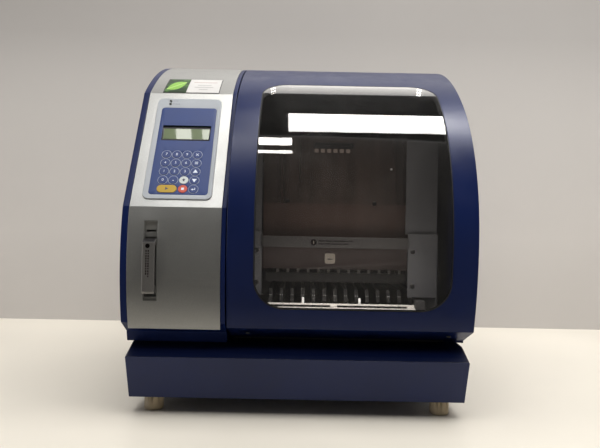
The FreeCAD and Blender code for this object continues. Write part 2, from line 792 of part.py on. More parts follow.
def chamber_frame():
    left, right, sheet = D.chamber_left, D.chamber_right, D.frame_sheet
    plates = [prism("YZ", [frame_side()], x, x + sheet) for x in (left - sheet, right)]
    wall = box((left - sheet, right + sheet),
               (back(D.back_wall_depth), back(D.back_wall_depth) + sheet), (D.plinth_top, 541))
    lips = [box((left, -62), (back(140.5), back(142.5)), (263, 475)),
            box((171, right), (back(140.5), back(142.5)), (263, 475))]
    tie = box((left, right), (back(362), back(D.back_wall_depth)), (539, 541))
    screw_port = rod("y", D.drive_x, back(370), 400, 8, 20)
    return cut(fuse(*plates, wall, *lips, tie), screw_port)


def side_brackets():
    left, right = D.chamber_left, D.chamber_right
    plates = []
    for x0, x1, wall0, wall1 in ((left, -60, left, left + 2), (173.5, right, right - 2, right)):
        face = box((x0, x1), (back(128.5), back(130.5)), (162, 263))
        cheek = box((wall0, wall1), (back(130.5), back(165)), (162, 263))
        plates.append(fuse(face, cheek))
    return group(*plates)


def cross_bar():
    beam = box((-59.5, 173), (back(122), back(134)), (238.8, 256))
    hollow = box((-70, 180), (back(124), back(135)), (240.8, 254))
    tabs = [box((x, x + 20), (back(130.5), back(132.5)), (240.8, 254)) for x in (-71, 164.5)]
    return fuse(cut(beam, hollow), *tabs)


def bar_skirt():
    sheet = box((-59, 172.5), (back(131), back(133)), (204.3, 238.8))
    edge = box((-59, 172.5), (back(133), back(143)), (204.3, 206.3))
    return fuse(sheet, edge)


def worktable_deck():
    left, right, height = D.chamber_left, D.chamber_right, D.deck_height
    plate = box((left, right), (back(55.5), back(D.back_wall_depth)), (height - 3, height))
    skirt = box((left, right), (back(79.5), back(81.5)), (D.plinth_top, height - 3))
    slots = [box((x, x + 8), (back(362), back(374)), (height - 5, height + 1))
             for x in (-70, 20, 110, 190)]
    return cut(fuse(plate, skirt), *slots)


def front_rail():
    lower = box((-80, 175), (back(61.5), back(71.5)), (144, 151.5))
    groove = box((-90, 190), (back(60), back(63)), (147, 148.2))
    upper = box((-80, 175), (back(73.5), back(77.5)), (154, 156.5))
    posts = [box((x, x + 10), (back(64), back(77.5)), (D.deck_height, 154)) for x in (-78, 48, 164)]
    block = box((175.2, 189), (back(62), back(84)), (D.deck_height, 164))
    return group(fuse(cut(lower, groove), upper, *posts), block)


def lane_x(index):
    return D.lane_centre + D.lane_pitch * (index - (LANES - 1) / 2)


def cartridge_rack():
    """Open tray with a fin on each side of every lane, cut back at a slant in front."""
    tray_front, tray_rear, slant_foot = back(172.5), back(360), 148
    half = D.fin_width / 2
    left, right = lane_x(-0.5) - half, lane_x(LANES - 0.5) + half
    fins = [rectangle(lane_x(i - 0.5) - half, lane_x(i - 0.5) + half, tray_front, tray_rear)
            for i in range(LANES + 1)]
    body = doc.addObject("PartDesign::Body", "rack")
    add_pad(body, "XY", [rectangle(left, right, tray_front, tray_rear)],
            D.deck_height, D.deck_height + 3)
    add_pad(body, "XY", fins, D.deck_height + 3, D.fin_top)
    slant = prism("YZ", [[(back(170), slant_foot), (tray_front, slant_foot),
                          (back(187), D.fin_top), (back(187), 180), (back(170), 180)]],
                  left - 1, right + 1)
    return cut(body, slant)


# ---------------------------------------------------------------- head

HEAD_LEFT, HEAD_RIGHT = -58, 186
CARRIAGE_EARS = (("drive_x", 186, 214), ("idle_x", -92, -58))
COMB_FOOT, COMB_TOP = 183, 189
APRON_FOOT, APRON_TOP = 175.5, 191.2
GUIDE_OFFSET = 100


def guide_places():
    return D.lane_centre - GUIDE_OFFSET, D.lane_centre + GUIDE_OFFSET


def head_carriage():
    """Open box that rides on the rails, with the nozzle comb as its floor."""
    across = (HEAD_LEFT, HEAD_RIGHT)
    spine = box(across, (back(277.5), back(280.5)), (COMB_FOOT, 470))
    roof = box(across, (back(162.5), back(280.5)), (467, 470))
    cheeks = [box((x, x + 3), (back(219.5), back(280.5)), (COMB_FOOT, 470))
              for x in (HEAD_LEFT, HEAD_RIGHT - 3)]
    comb = box(across, (back(219.5), back(280.5)), (COMB_FOOT, COMB_TOP))
    apron = box(across, (back(217.5), back(219.5)), (APRON_FOOT, APRON_TOP))
    ears = [box((x0, x1), (back(205), back(245)), (385, 445)) for _, x0, x1 in CARRIAGE_EARS]
    guides = [rod("z", x, back(D.lift_depth), COMB_TOP, D.guide_radius, 467 - COMB_TOP)
              for x in guide_places()]
    frame = fuse(spine, roof, *cheeks, comb, apron, *ears, *guides)
    bores = [rod("y", D.drive_x, back(200), D.rail_height, D.rail_radius + D.running_gap, 50),
             rod("y", D.idle_x, back(200), D.rail_height, D.rail_radius + D.running_gap, 50),
             rod("y", D.drive_x, back(200), 400, D.screw_radius + D.running_gap, 50)]
    holes = [rod("z", lane_x(i), back(D.nozzle_depth), COMB_FOOT - 2, D.nozzle_radius + 1, 10)
             for i in range(LANES)]
    return cut(frame, *bores, *holes)


def head_cover():
    """Folded tinted sheet hung from the front of the carriage roof."""
    return prism("YZ", [[(back(158.5), 239), (back(160.5), 239), (back(160.5), 310),
                         (back(162.5), 467), (back(162.5), 470), (back(160.5), 470),
                         (back(158.5), 310)]], HEAD_LEFT - 3, HEAD_RIGHT + 3)


def across_lanes(margin):
    return lane_x(0) - margin, lane_x(LANES - 1) + margin


def syringe_block():
    """Thirteen barrels in one block that slides on the guide rods."""
    block = box(across_lanes(4.5), (back(217.5), back(255.5)), (234, 300))
    saddle = box(across_lanes(4.5), (back(255.5), back(275.5)), (250, 280))
    radius = D.nozzle_radius
    nozzles = []
    for i in range(LANES):
        nozzles.append(rod("z", lane_x(i), back(D.nozzle_depth), 204, radius, 31))
        nozzles.append(taper("z", lane_x(i), back(D.nozzle_depth), D.nozzle_tip,
                             radius - 1, radius, 20))
    bores = [rod("z", lane_x(i), back(D.nozzle_depth), 240, D.barrel_radius, 70)
             for i in range(LANES)]
    guides = [rod("z", x, back(D.lift_depth), 240, D.guide_radius + D.running_gap, 50)
              for x in guide_places()]
    nut = rod("z", D.lane_centre, back(D.lift_depth), 240, D.screw_radius + D.running_gap, 50)
    return cut(fuse(block, saddle, *nozzles), *bores, *guides, nut)


def piston_drive():
    plate = box(across_lanes(4.5), (back(222), back(253)), (330, 338))
    pistons = [rod("z", lane_x(i), back(D.nozzle_depth), 246, D.barrel_radius - D.running_gap, 85)
               for i in range(LANES)]
    return fuse(plate, *pistons)


def lift_screw():
    return fuse(rod("z", D.lane_centre, back(D.lift_depth), 189.5, D.screw_radius, 277),
                rod("z", D.lane_centre, back(D.lift_depth), 440, 9, 12))


def travel_screw():
    return fuse(rod("y", D.drive_x, back(144), 400, D.screw_radius, 239),
                rod("y", D.drive_x, back(150), 400, 8, 10))


def travel_rails():
    span = D.back_wall_depth - 142.5
    return group(*[rod("y", x, back(142.5), D.rail_height, D.rail_radius, span)
                   for x in (D.drive_x, D.idle_x)])


def travel_motor():
    start = back(D.back_wall_depth + 4.5)
    case = box((D.drive_x - 21, D.drive_x + 21), (start, start + 44), (379, 421))
    flange = box((D.drive_x - 21, D.drive_x + 21), (back(D.back_wall_depth) + 2, start), (379, 421))
    throat = rod("y", D.drive_x, back(D.back_wall_depth), 400, 12, 4)
    return cut(fuse(case, flange), throat)


def magnet_bar():
    return box(across_lanes(4.5), (back(246.5), back(254.5)), (172.5, 180.5))


# ---------------------------------------------------------------- services

def power_supply():
    case = box((-232, -128), (back(250), back(430)), (103, 160))
    vents = [box((-215 + 12 * i, -209 + 12 * i), (back(245), back(252)), (115, 150))
             for i in range(6)]
    return cut(case, *vents)


def fan_housing():
    half = D.fan_size / 2
    low, high = rear - 27.5, rear - 2.5
    frame = box((D.fan_x - half, D.fan_x + half), (low, high), (D.fan_z - half, D.fan_z + half))
    hole = rod("y", D.fan_x, low - 1, D.fan_z, half - 3, 30)
    hub = rod("y", D.fan_x, high - 4, D.fan_z, 17, 4)
    arms = [box((D.fan_x - half + 1, D.fan_x - 14), (high - 4, high), (D.fan_z - 3, D.fan_z + 3)),
            box((D.fan_x + 14, D.fan_x + half - 1), (high - 4, high), (D.fan_z - 3, D.fan_z + 3)),
            box((D.fan_x - 3, D.fan_x + 3), (high - 4, high), (D.fan_z + 14, D.fan_z + half - 1))]
    axle = rod("y", D.fan_x, high - 20, D.fan_z, 2, 17)
    return fuse(cut(frame, hole), hub, *arms, axle)


def fan_rotor():
    high = rear - 7
    hub = cut(rod("y", D.fan_x, high - 17, D.fan_z, 16, 17),
              rod("y", D.fan_x, high - 20, D.fan_z, 2 + D.running_gap, 30))
    blades = []
    for i in range(7):
        blade = doc.addObject("Part::Box", "blade")
        bind(blade, "Length", D.fan_size / 2 - 19.4)
        bind(blade, "Width", 2)
        bind(blade, "Height", 14)
        turn = FreeCAD.Rotation(Vec(0, 1, 0), i * 360 / 7)
        lean = turn.multiply(FreeCAD.Rotation(Vec(1, 0, 0), 40))
        offset = turn.multVec(Vec(14.2, 0, -5))
        move(blade, D.fan_x + offset.x, high - 6, D.fan_z + offset.z, lean)
        blades.append(blade)
    return fuse(hub, *blades)


ROCKER = (-34, 148)


def power_inlet():
    case = box((-80, -20), (rear - 32, rear - 2.5), (130, 166))
    rim = box((-80, -20), (rear - 2.5, rear - 0.2), (130, 166))
    socket = box((-76, -46), (rear - 22, rear + 1), (137, 159))
    well = box((ROCKER[0] - 8, ROCKER[0] + 8), (rear - 14, rear + 1), (136, 160))
    blades = [box((x, x + 5), (rear - 23, rear - 6), (z, z + 2))
              for x, z in ((-73, 142), (-54, 142), (-63.5, 152))]
    pin = rod("x", ROCKER[0] - 9, rear - 7, ROCKER[1], 1.2, 18)
    return fuse(cut(fuse(case, rim), socket, well), *blades, pin)


def power_rocker():
    x, z = ROCKER
    paddle = prism("YZ", [[(rear - 10.5, z - 4), (rear - 4.2, z - 10.6), (rear - 2.4, z - 10.6),
                           (rear - 3.6, z), (rear - 0.4, z + 9.6), (rear - 2.6, z + 10.4),
                           (rear - 10.5, z + 4)]], x - 7.4, x + 7.4)
    return cut(paddle, rod("x", x - 8, rear - 7, z, 1.2 + D.running_gap, 16))


# ---------------------------------------------------------------- build and export

def card_housing_with_pin():
    return fuse(card_slot_housing(), card_pin())


NODES = [
    ("plinth", plinth), ("feet", feet), ("column_shell", column_shell),
    ("column_fascia", column_fascia), ("top_cover", top_cover),
    ("right_side_panel", right_side_panel), ("rear_panel", rear_panel),
    ("machine_screws", machine_screws), ("chamber_frame", chamber_frame),
    ("worktable_deck", worktable_deck), ("front_rail", front_rail), ("cross_bar", cross_bar),
    ("bar_skirt", bar_skirt), ("side_brackets", side_brackets), ("keypad_bezel", keypad_bezel),
    ("keypad_overlay", keypad_overlay), ("display_module", display_module),
    ("circuit_boards", circuit_boards), ("card_slot_housing", card_housing_with_pin),
    ("power_supply", power_supply), ("fan_housing", fan_housing), ("power_inlet", power_inlet),
    ("travel_rails", travel_rails), ("travel_motor", travel_motor), ("hinge_pins", hinge_pins),
    ("cartridge_rack", cartridge_rack), ("door_frame", door_frame),
    ("door_window", door_window), ("window_gasket", window_gasket), ("door_hinges", door_hinges),
    ("card_guard", card_guard), ("power_rocker", power_rocker), ("fan_rotor", fan_rotor),
    ("head_carriage", head_carriage), ("head_cover", head_cover),
    ("syringe_block", syringe_block), ("piston_drive", piston_drive), ("lift_screw", lift_screw),
    ("travel_screw", travel_screw), ("magnet_bar", magnet_bar),
    ("key_start", lambda: key(start_outline)),
]
for grid_row, grid_names in enumerate(KEY_GRID):
    for grid_column, grid_name in enumerate(grid_names):
        if grid_name:
            NODES.append((grid_name, lambda r=grid_row, c=grid_column:
                          key(lambda grow: key_outline(r, c, grow))))

built = {}
for node_name, maker in NODES:
    built[node_name] = maker()
    built[node_name].Label = node_name
doc.recompute()

for thing in doc.Objects:
    if "Invalid" in thing.State or "Error" in thing.State:
        raise RuntimeError(f"{thing.Name} ({thing.Label}) is {thing.State}")
for node_name, thing in built.items():
    shape = thing.Shape
    if shape.isNull() or not shape.isValid() or not shape.Solids:
        raise RuntimeError(f"{node_name} has no valid solid")
    shape.exportStep(f"parts/{node_name}.step")
    size = shape.BoundBox
    print(f"{node_name:20s} solids {len(shape.Solids):3d}  volume {shape.Volume / 1000:10.2f} cm3"
          f"  y {size.YMin:8.2f}..{size.YMax:8.2f}  z {size.ZMin:7.2f}..{size.ZMax:7.2f}")
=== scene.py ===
import json
import math

import bmesh
import bpy
from mathutils import Matrix, Vector


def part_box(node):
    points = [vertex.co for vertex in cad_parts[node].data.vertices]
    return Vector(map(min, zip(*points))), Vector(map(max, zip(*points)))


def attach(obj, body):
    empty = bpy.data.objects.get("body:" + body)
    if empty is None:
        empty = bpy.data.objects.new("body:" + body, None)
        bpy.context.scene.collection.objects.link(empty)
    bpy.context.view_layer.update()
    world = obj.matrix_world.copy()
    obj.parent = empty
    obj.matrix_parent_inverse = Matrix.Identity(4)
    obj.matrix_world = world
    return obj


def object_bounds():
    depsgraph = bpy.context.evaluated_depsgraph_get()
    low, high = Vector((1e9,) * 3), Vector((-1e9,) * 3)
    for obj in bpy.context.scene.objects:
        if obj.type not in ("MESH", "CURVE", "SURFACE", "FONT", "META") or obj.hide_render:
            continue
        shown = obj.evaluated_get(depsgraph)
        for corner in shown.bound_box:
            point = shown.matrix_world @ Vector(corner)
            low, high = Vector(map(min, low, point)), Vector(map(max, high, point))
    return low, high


# Looks of a bench-top extraction workstation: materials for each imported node, small raised
# details that ride on the bodies, and a pale studio. Lengths are in metres.
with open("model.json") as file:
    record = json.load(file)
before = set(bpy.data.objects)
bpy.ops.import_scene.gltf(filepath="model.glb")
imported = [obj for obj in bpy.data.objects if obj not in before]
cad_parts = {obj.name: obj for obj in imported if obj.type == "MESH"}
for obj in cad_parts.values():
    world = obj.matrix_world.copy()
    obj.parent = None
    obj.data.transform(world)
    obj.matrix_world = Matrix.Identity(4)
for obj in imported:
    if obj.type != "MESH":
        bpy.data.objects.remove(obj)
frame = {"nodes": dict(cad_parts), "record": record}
cad_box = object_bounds()
NODES = frame["nodes"]
JOINTS = {j["name"]: j for j in frame["record"]["behaviour"]["joints"]}

# Side profile shared by the door and the column: three tangent arcs, each held as
# (centre y, centre z, radius). The leaning control panel lies between two heights.
CROWN_R, BROW_R, BELLY_R = 0.457, 0.270, 0.450
MEET = math.radians(132)
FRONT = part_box("door_frame")[0][1]
BROW = (FRONT + BROW_R, cad_box[1][2] - CROWN_R + (CROWN_R - BROW_R) * math.sin(MEET), BROW_R)
CROWN = (BROW[0] - (CROWN_R - BROW_R) * math.cos(MEET), cad_box[1][2] - CROWN_R, CROWN_R)
BELLY = (FRONT + BELLY_R, BROW[1], BELLY_R)
CROWN_FROM = BROW[1] + BROW_R * math.sin(MEET)
PANEL_FROM, PANEL_TO = 0.2967, 0.4786
# how well a facet has to agree with an arc, as the cosine of the angle between them
CLOSE_TO_ARC, NEAR_ARC = 0.9982, 0.96

# ------------------------------------------------------------------ shader helpers


class Shader:
    """A node material built step by step."""

    def __init__(self, name):
        self.mat = bpy.data.materials.new(name)
        self.mat.use_nodes = True
        self.tree = self.mat.node_tree
        self.tree.nodes.clear()
        self.out = self.add("ShaderNodeOutputMaterial")
        self.coord = self.add("ShaderNodeTexCoord").outputs["Object"]

    def add(self, kind, **settings):
        node = self.tree.nodes.new(kind)
        for key, value in settings.items():
            setattr(node, key, value)
        return node

    def feed(self, socket, value):
        if isinstance(value, bpy.types.NodeSocket):
            self.tree.links.new(value, socket)
        else:
            socket.default_value = value

    def noise(self, scale, detail=3, rough=0.55, coord=None):
        node = self.add("ShaderNodeTexNoise")
        self.feed(node.inputs["Vector"], coord or self.coord)
        self.feed(node.inputs["Scale"], scale)
        self.feed(node.inputs["Detail"], detail)
        self.feed(node.inputs["Roughness"], rough)
        return node.outputs["Fac"]

    def stretched(self, x, y, z):
        node = self.add("ShaderNodeMapping")
        self.feed(node.inputs["Vector"], self.coord)
        node.inputs["Scale"].default_value = (x, y, z)
        return node.outputs["Vector"]

    def axis(self, letter, vector=None):
        """One component of the object coordinate or of another vector."""
        split = self.add("ShaderNodeSeparateXYZ")
        self.feed(split.inputs[0], vector or self.coord)
        return split.outputs[letter]

    def spread(self, value, low, high, to_low=0.0, to_high=1.0):
        node = self.add("ShaderNodeMapRange")
        for key, item in zip(("Value", "From Min", "From Max", "To Min", "To Max"),
                             (value, low, high, to_low, to_high)):
            self.feed(node.inputs[key], item)
        return node.outputs["Result"]

    def maths(self, operation, a, b=0.0):
        node = self.add("ShaderNodeMath", operation=operation)
        self.feed(node.inputs[0], a)
        self.feed(node.inputs[1], b)
        return node.outputs[0]

    def mix(self, factor, a, b):
        node = self.add("ShaderNodeMix", data_type="RGBA")
        self.feed(node.inputs["Factor"], factor)
        for key, item in (("A", a), ("B", b)):
            socket = [s for s in node.inputs if s.name == key and s.type == "RGBA"][0]
            self.feed(socket, item if isinstance(item, bpy.types.NodeSocket) else (*item, 1))
        return [s for s in node.outputs if s.type == "RGBA"][0]

    def bump(self, height, strength, distance, normal=None):
        node = self.add("ShaderNodeBump")
        self.feed(node.inputs["Height"], height)
        self.feed(node.inputs["Strength"], strength)
        self.feed(node.inputs["Distance"], distance)
        if normal is not None:
            self.feed(node.inputs["Normal"], normal)
        return node.outputs["Normal"]

    def skin_normal(self, flat_panel=False):
        """Exact normal of the arcs wherever the mesh lies on them, else the mesh's own."""
        y, z = self.axis("Y"), self.axis("Z")
        above_belly = self.maths("GREATER_THAN", z, BELLY[1])
        above_brow = self.maths("GREATER_THAN", z, CROWN_FROM)
        centre = []
        for belly, brow, crown in list(zip(BELLY, BROW, CROWN))[:2]:
            first = self.maths("MULTIPLY", above_belly, brow - belly)
            second = self.maths("MULTIPLY", above_brow, crown - brow)
            centre.append(self.maths("ADD", self.maths("ADD", first, second), belly))
        radial = self.add("ShaderNodeCombineXYZ")
        self.feed(radial.inputs["Y"], self.maths("SUBTRACT", y, centre[0]))
        self.feed(radial.inputs["Z"], self.maths("SUBTRACT", z, centre[1]))
        world = self.add("ShaderNodeVectorTransform", vector_type="NORMAL",
                         convert_from="OBJECT", convert_to="WORLD")
        self.feed(world.inputs[0], radial.outputs[0])
        arc = self.add("ShaderNodeVectorMath", operation="NORMALIZE")
        self.feed(arc.inputs[0], world.outputs[0])
        geometry = self.add("ShaderNodeNewGeometry")
        dot = self.add("ShaderNodeVectorMath", operation="DOT_PRODUCT")
        self.feed(dot.inputs[0], arc.outputs[0])
        self.feed(dot.inputs[1], geometry.outputs["True Normal"])
        on_arc = self.maths("GREATER_THAN", self.maths("ABSOLUTE", dot.outputs["Value"]),
                            CLOSE_TO_ARC if flat_panel else NEAR_ARC)
        if flat_panel:
            below = self.maths("LESS_THAN", z, PANEL_FROM)
            beyond = self.maths("GREATER_THAN", z, PANEL_TO)
            on_arc = self.maths("MULTIPLY", on_arc, self.maths("ADD", below, beyond))
        facing = self.add("ShaderNodeVectorMath", operation="SCALE")
        self.feed(facing.inputs[0], arc.outputs[0])
        self.feed(facing.inputs["Scale"], self.maths("SIGN", dot.outputs["Value"]))
        choice = self.add("ShaderNodeMix", data_type="VECTOR")
        self.feed(choice.inputs["Factor"], on_arc)
        vectors = [socket for socket in choice.inputs if socket.type == "VECTOR"][-2:]
        self.feed(vectors[0], geometry.outputs["Normal"])
        self.feed(vectors[1], facing.outputs[0])
        return [socket for socket in choice.outputs if socket.type == "VECTOR"][0]

    def edge_mask(self, radius):
        """Bright along convex and concave edges."""
        bevel = self.add("ShaderNodeBevel", samples=4)
        self.feed(bevel.inputs["Radius"], radius)
        geometry = self.add("ShaderNodeNewGeometry")
        dot = self.add("ShaderNodeVectorMath", operation="DOT_PRODUCT")
        self.feed(dot.inputs[0], bevel.outputs[0])
        self.feed(dot.inputs[1], geometry.outputs["Normal"])
        return self.spread(dot.outputs["Value"], 0.995, 0.86)

    def surface(self, **inputs):
        """Principled shader from short input names; it becomes the material's surface."""
        node = self.add("ShaderNodeBsdfPrincipled")
        names = {"base": "Base Color", "metal": "Metallic", "rough": "Roughness",
                 "normal": "Normal", "coat": "Coat Weight", "coat_rough": "Coat Roughness",
                 "glow": "Emission Color", "glow_power": "Emission Strength",
                 "specular": "Specular IOR Level"}
        for key, value in inputs.items():
            if isinstance(value, tuple) and len(value) == 3:
                value = (*value, 1)
            self.feed(node.inputs[names[key]], value)
        self.tree.links.new(node.outputs[0], self.out.inputs["Surface"])
        return self.mat


def painted(name, base, rough, wear=(0.45, 0.46, 0.5), skin=None, gloss=0.5, up_shade=1.0):
    """Powder coat: fine orange peel, slow roughness change, a little wear along the edges.
    skin is "door" or "column" for parts on the arcs; an upward-shade factor below 1 paints shade on
    faces that face upwards."""
    s = Shader(name)
    cloud = s.noise(7, 3)
    fine = s.noise(1500, 2)
    shade = s.mix(s.spread(cloud, 0.3, 0.7), tuple(c * 0.88 for c in base),
                  tuple(c * 1.12 for c in base))
    # painted shade: faces that face upwards are darkened, for the shade under the body above
    if up_shade < 1:
        up = s.axis("Z", s.add("ShaderNodeNewGeometry").outputs["True Normal"])
        shade = s.mix(s.spread(up, 0.2, 0.4), shade, tuple(c * up_shade for c in base))
    breakup = s.spread(s.noise(160, 4), 0.52, 0.66)
    bright_edge = s.maths("MULTIPLY", s.maths("MULTIPLY", s.edge_mask(0.0008), breakup), 0.35)
    colour = s.mix(bright_edge, shade, wear)
    dust = s.spread(s.noise(26, 5, 0.7), 0.35, 0.75, rough - 0.04, rough + 0.07)
    under = s.skin_normal(skin == "column") if skin else None
    return s.surface(base=colour, rough=dust, specular=gloss,
                     normal=s.bump(fine, 0.22, 0.00012, under))


def metallic_paint(name, base, rough):
    """Silver paint with fine flakes, for the column front."""
    s = Shader(name)
    flake = s.noise(2600, 1)
    cloud = s.noise(5, 2)
    shade = s.mix(s.spread(flake, 0.35, 0.65), tuple(c * 0.84 for c in base),
                  tuple(c * 1.14 for c in base))
    smear = s.spread(s.noise(18, 4, 0.65), 0.35, 0.7, rough - 0.03, rough + 0.06)
    tint = s.mix(s.spread(cloud, 0.35, 0.7, 0.0, 0.25), shade, tuple(c * 0.9 for c in base))
    bright_edge = s.maths("MULTIPLY", s.edge_mask(0.0006), 0.4)
    return s.surface(base=s.mix(bright_edge, tint, (0.8, 0.8, 0.8)), metal=0.8, rough=smear,
                     normal=s.bump(flake, 0.12, 0.0001, s.skin_normal(True)))


def brushed(name, base, rough, along=(1, 40, 40), metal=1.0):
    """Metal with fine lines along one axis."""
    s = Shader(name)
    lines = s.noise(60, 4, 0.7, s.stretched(*along))
    shade = s.mix(s.spread(lines, 0.3, 0.7), tuple(c * 0.8 for c in base),
                  tuple(min(1, c * 1.15) for c in base))
    stain = s.spread(s.noise(12, 3), 0.3, 0.8, -0.03, 0.08)
    return s.surface(base=shade, metal=metal, normal=s.bump(lines, 0.2, 0.0001),
                     rough=s.maths("ADD", s.spread(lines, 0.3, 0.7, rough, rough + 0.12), stain))


def plastic(name, base, rough, grain=900, bump=0.15, coat=0.0, wear=None, gloss=0.5):
    """Moulded plastic, rubber or ink, with fine grain."""
    s = Shader(name)
    fine = s.noise(grain, 2)
    cloud = s.noise(22, 4, 0.6)
    colour = s.mix(s.spread(cloud, 0.3, 0.75), tuple(c * 0.93 for c in base),
                   tuple(min(1, c * 1.06) for c in base))
    if wear:
        colour = s.mix(s.maths("MULTIPLY", s.edge_mask(0.0005), 0.6), colour, wear)
    return s.surface(base=colour, coat=coat, coat_rough=0.1, specular=gloss,
                     rough=s.spread(cloud, 0.3, 0.7, rough - 0.03, rough + 0.05),
                     normal=s.bump(fine, bump, 0.0001))


# heights between which the window bends back, and how much more it reflects above them
WINDOW_BEND, BEND_SHINE, HAZE = (0.47, 0.5), 3.2, 0.015


def clear_sheet(name, tint):
    """Thin tinted acrylic: tinted see-through with a Fresnel reflection on top. The reflection
    is stronger on the steep bend at the top."""
    s = Shader(name)
    normal = s.skin_normal()
    fresnel = s.add("ShaderNodeFresnel")
    fresnel.inputs["IOR"].default_value = 1.49
    s.feed(fresnel.inputs["Normal"], normal)
    smudge = s.noise(9, 5, 0.7)
    through = s.add("ShaderNodeBsdfTransparent")
    s.feed(through.inputs["Color"], (*tint, 1))
    gloss = s.add("ShaderNodeBsdfGlossy")
    s.feed(gloss.inputs["Roughness"], s.spread(smudge, 0.4, 0.75, HAZE, HAZE + 0.05))
    s.feed(gloss.inputs["Color"], (1, 1, 1, 1))
    s.feed(gloss.inputs["Normal"], normal)
    dusty = s.add("ShaderNodeBsdfDiffuse")
    s.feed(dusty.inputs["Color"], (0.6, 0.58, 0.55, 1))
    film = s.add("ShaderNodeMixShader")
    s.feed(film.inputs[0], s.spread(smudge, 0.45, 0.85, 0.011, 0.04))
    s.feed(film.inputs[1], through.outputs[0])
    s.feed(film.inputs[2], dusty.outputs[0])
    both = s.add("ShaderNodeMixShader")
    strength = s.spread(s.axis("Z"), *WINDOW_BEND, 1.0, BEND_SHINE)
    s.feed(both.inputs[0], s.maths("MULTIPLY", fresnel.outputs[0], strength))
    s.feed(both.inputs[1], film.outputs[0])
    s.feed(both.inputs[2], gloss.outputs[0])
    s.tree.links.new(both.outputs[0], s.out.inputs["Surface"])
    return s.mat


def circuit_board(name):
    """Green board with a web of copper tracks."""
    s = Shader(name)
    cells = s.add("ShaderNodeTexVoronoi", feature="DISTANCE_TO_EDGE")
    s.feed(cells.inputs["Vector"], s.coord)
    s.feed(cells.inputs["Scale"], 160)
    track = s.spread(cells.outputs["Distance"], 0.02, 0.05)
    return s.surface(base=s.mix(track, (0.08, 0.3, 0.12), (0.02, 0.13, 0.05)), rough=0.4,
                     normal=s.bump(track, 0.3, 0.0001))


NAVY, NAVY_RUB = (0.0046, 0.0115, 0.062), (0.22, 0.25, 0.34)
BLUE = painted("paint_navy", NAVY, 0.36, NAVY_RUB, gloss=0.3)
# copy of the navy paint with painted shade on the plinth's upward-facing top
PLINTH_BLUE_SHADED = painted("paint_navy_plinth_shaded", NAVY, 0.36, NAVY_RUB, gloss=0.3, up_shade=0.32)
DOOR_BLUE = painted("paint_navy_door", NAVY, 0.34, NAVY_RUB, skin="door", gloss=0.23)
COLUMN_BLUE = painted("paint_navy_column", NAVY, 0.36, NAVY_RUB, skin="column", gloss=0.12)
SILVER = metallic_paint("paint_silver", (0.34, 0.34, 0.33), 0.4)
BEZEL = plastic("bezel_moulding", (0.37, 0.395, 0.43), 0.5, wear=(0.6, 0.6, 0.61), gloss=0.2)
OVERLAY = plastic("overlay_film", (0.032, 0.055, 0.17), 0.5, grain=3000, bump=0.08, gloss=0.2)
KEY_BLUE = plastic("key_navy", (0.03, 0.05, 0.16), 0.5, gloss=0.2)
KEY_WHITE = plastic("key_white", (0.52, 0.56, 0.55), 0.45, gloss=0.25)
KEY_YELLOW = plastic("key_yellow", (0.42, 0.27, 0.02), 0.45, gloss=0.25)
KEY_RED = plastic("key_red", (0.5, 0.075, 0.045), 0.45, gloss=0.25)
BLACK = plastic("black_moulding", (0.012, 0.012, 0.013), 0.42, wear=(0.06, 0.06, 0.06))
RUBBER = plastic("black_rubber", (0.008, 0.008, 0.008), 0.62, grain=600, bump=0.3)
IVORY = plastic("ivory_rubber", (0.5, 0.4, 0.26), 0.6, grain=500, bump=0.3)
STEEL = brushed("stainless", (0.58, 0.57, 0.55), 0.24)
BRIGHT = brushed("bright_metal", (0.92, 0.9, 0.86), 0.36, metal=0.35)
ROD = brushed("ground_rod", (0.62, 0.62, 0.62), 0.14, along=(40, 1, 40))
CHASSIS = painted("chassis_coat", (0.1, 0.1, 0.105), 0.42, wear=(0.3, 0.3, 0.3))
DARK_PLATE = brushed("dull_bar", (0.06, 0.056, 0.054), 0.42, metal=0.2)
DECK = painted("deck_coat", (0.035, 0.034, 0.036), 0.5, wear=(0.2, 0.2, 0.2))
RACK = brushed("rack_alloy", (0.034, 0.033, 0.033), 0.42, metal=0.25)
SLOT_GREY = painted("slot_moulding", (0.12, 0.12, 0.115), 0.45, wear=(0.3, 0.3, 0.3))
HINGE = painted("hinge_coat", (0.03, 0.03, 0.035), 0.75, wear=(0.05, 0.05, 0.05), gloss=0.02)
BARRELS = plastic("barrel_block", (0.3, 0.27, 0.25), 0.4)
WINDOW = clear_sheet("window_acrylic", (0.9, 0.885, 0.875))
BOARD = circuit_board("board_green")
CASE = painted("module_case", (0.22, 0.22, 0.22), 0.4)

COVER_FOLD = 0.310  # height of the fold in the head cover


def bronze_sheet():
    """Dark bronze acrylic with faint upright streaks of painted reflection, browner below the fold.
    """
    s = Shader("bronze_acrylic")
    reflection_streak = s.noise(22, 3, 0.6, s.stretched(1, 1, 0.08))
    # painted reflection: the lighter upright streaks stand for the room reflected in the sheet
    dark = s.mix(s.spread(reflection_streak, 0.35, 0.7), (0.022, 0.015, 0.012), (0.062, 0.045, 0.037))
    low_part = s.spread(s.axis("Z"), COVER_FOLD + 0.0004, COVER_FOLD - 0.0004, 0.0, 0.3)
    base = s.mix(low_part, dark, (0.1, 0.06, 0.05))
    return s.surface(base=base, rough=s.spread(s.noise(14, 4), 0.3, 0.7, 0.07, 0.2), coat=0.6,
                     coat_rough=0.05, normal=s.bump(reflection_streak, 0.15, 0.002))


def smoke_sheet():
    """Dark smoked acrylic of the bar's skirt."""
    s = Shader("smoke_acrylic")
    cloud = s.noise(18, 4, 0.6, s.stretched(0.4, 1, 1))
    base = s.mix(s.spread(cloud, 0.3, 0.7), (0.018, 0.0135, 0.0125), (0.046, 0.034, 0.031))
    return s.surface(base=base, rough=s.spread(cloud, 0.3, 0.7, 0.12, 0.26), coat=0.5,
                     coat_rough=0.06)


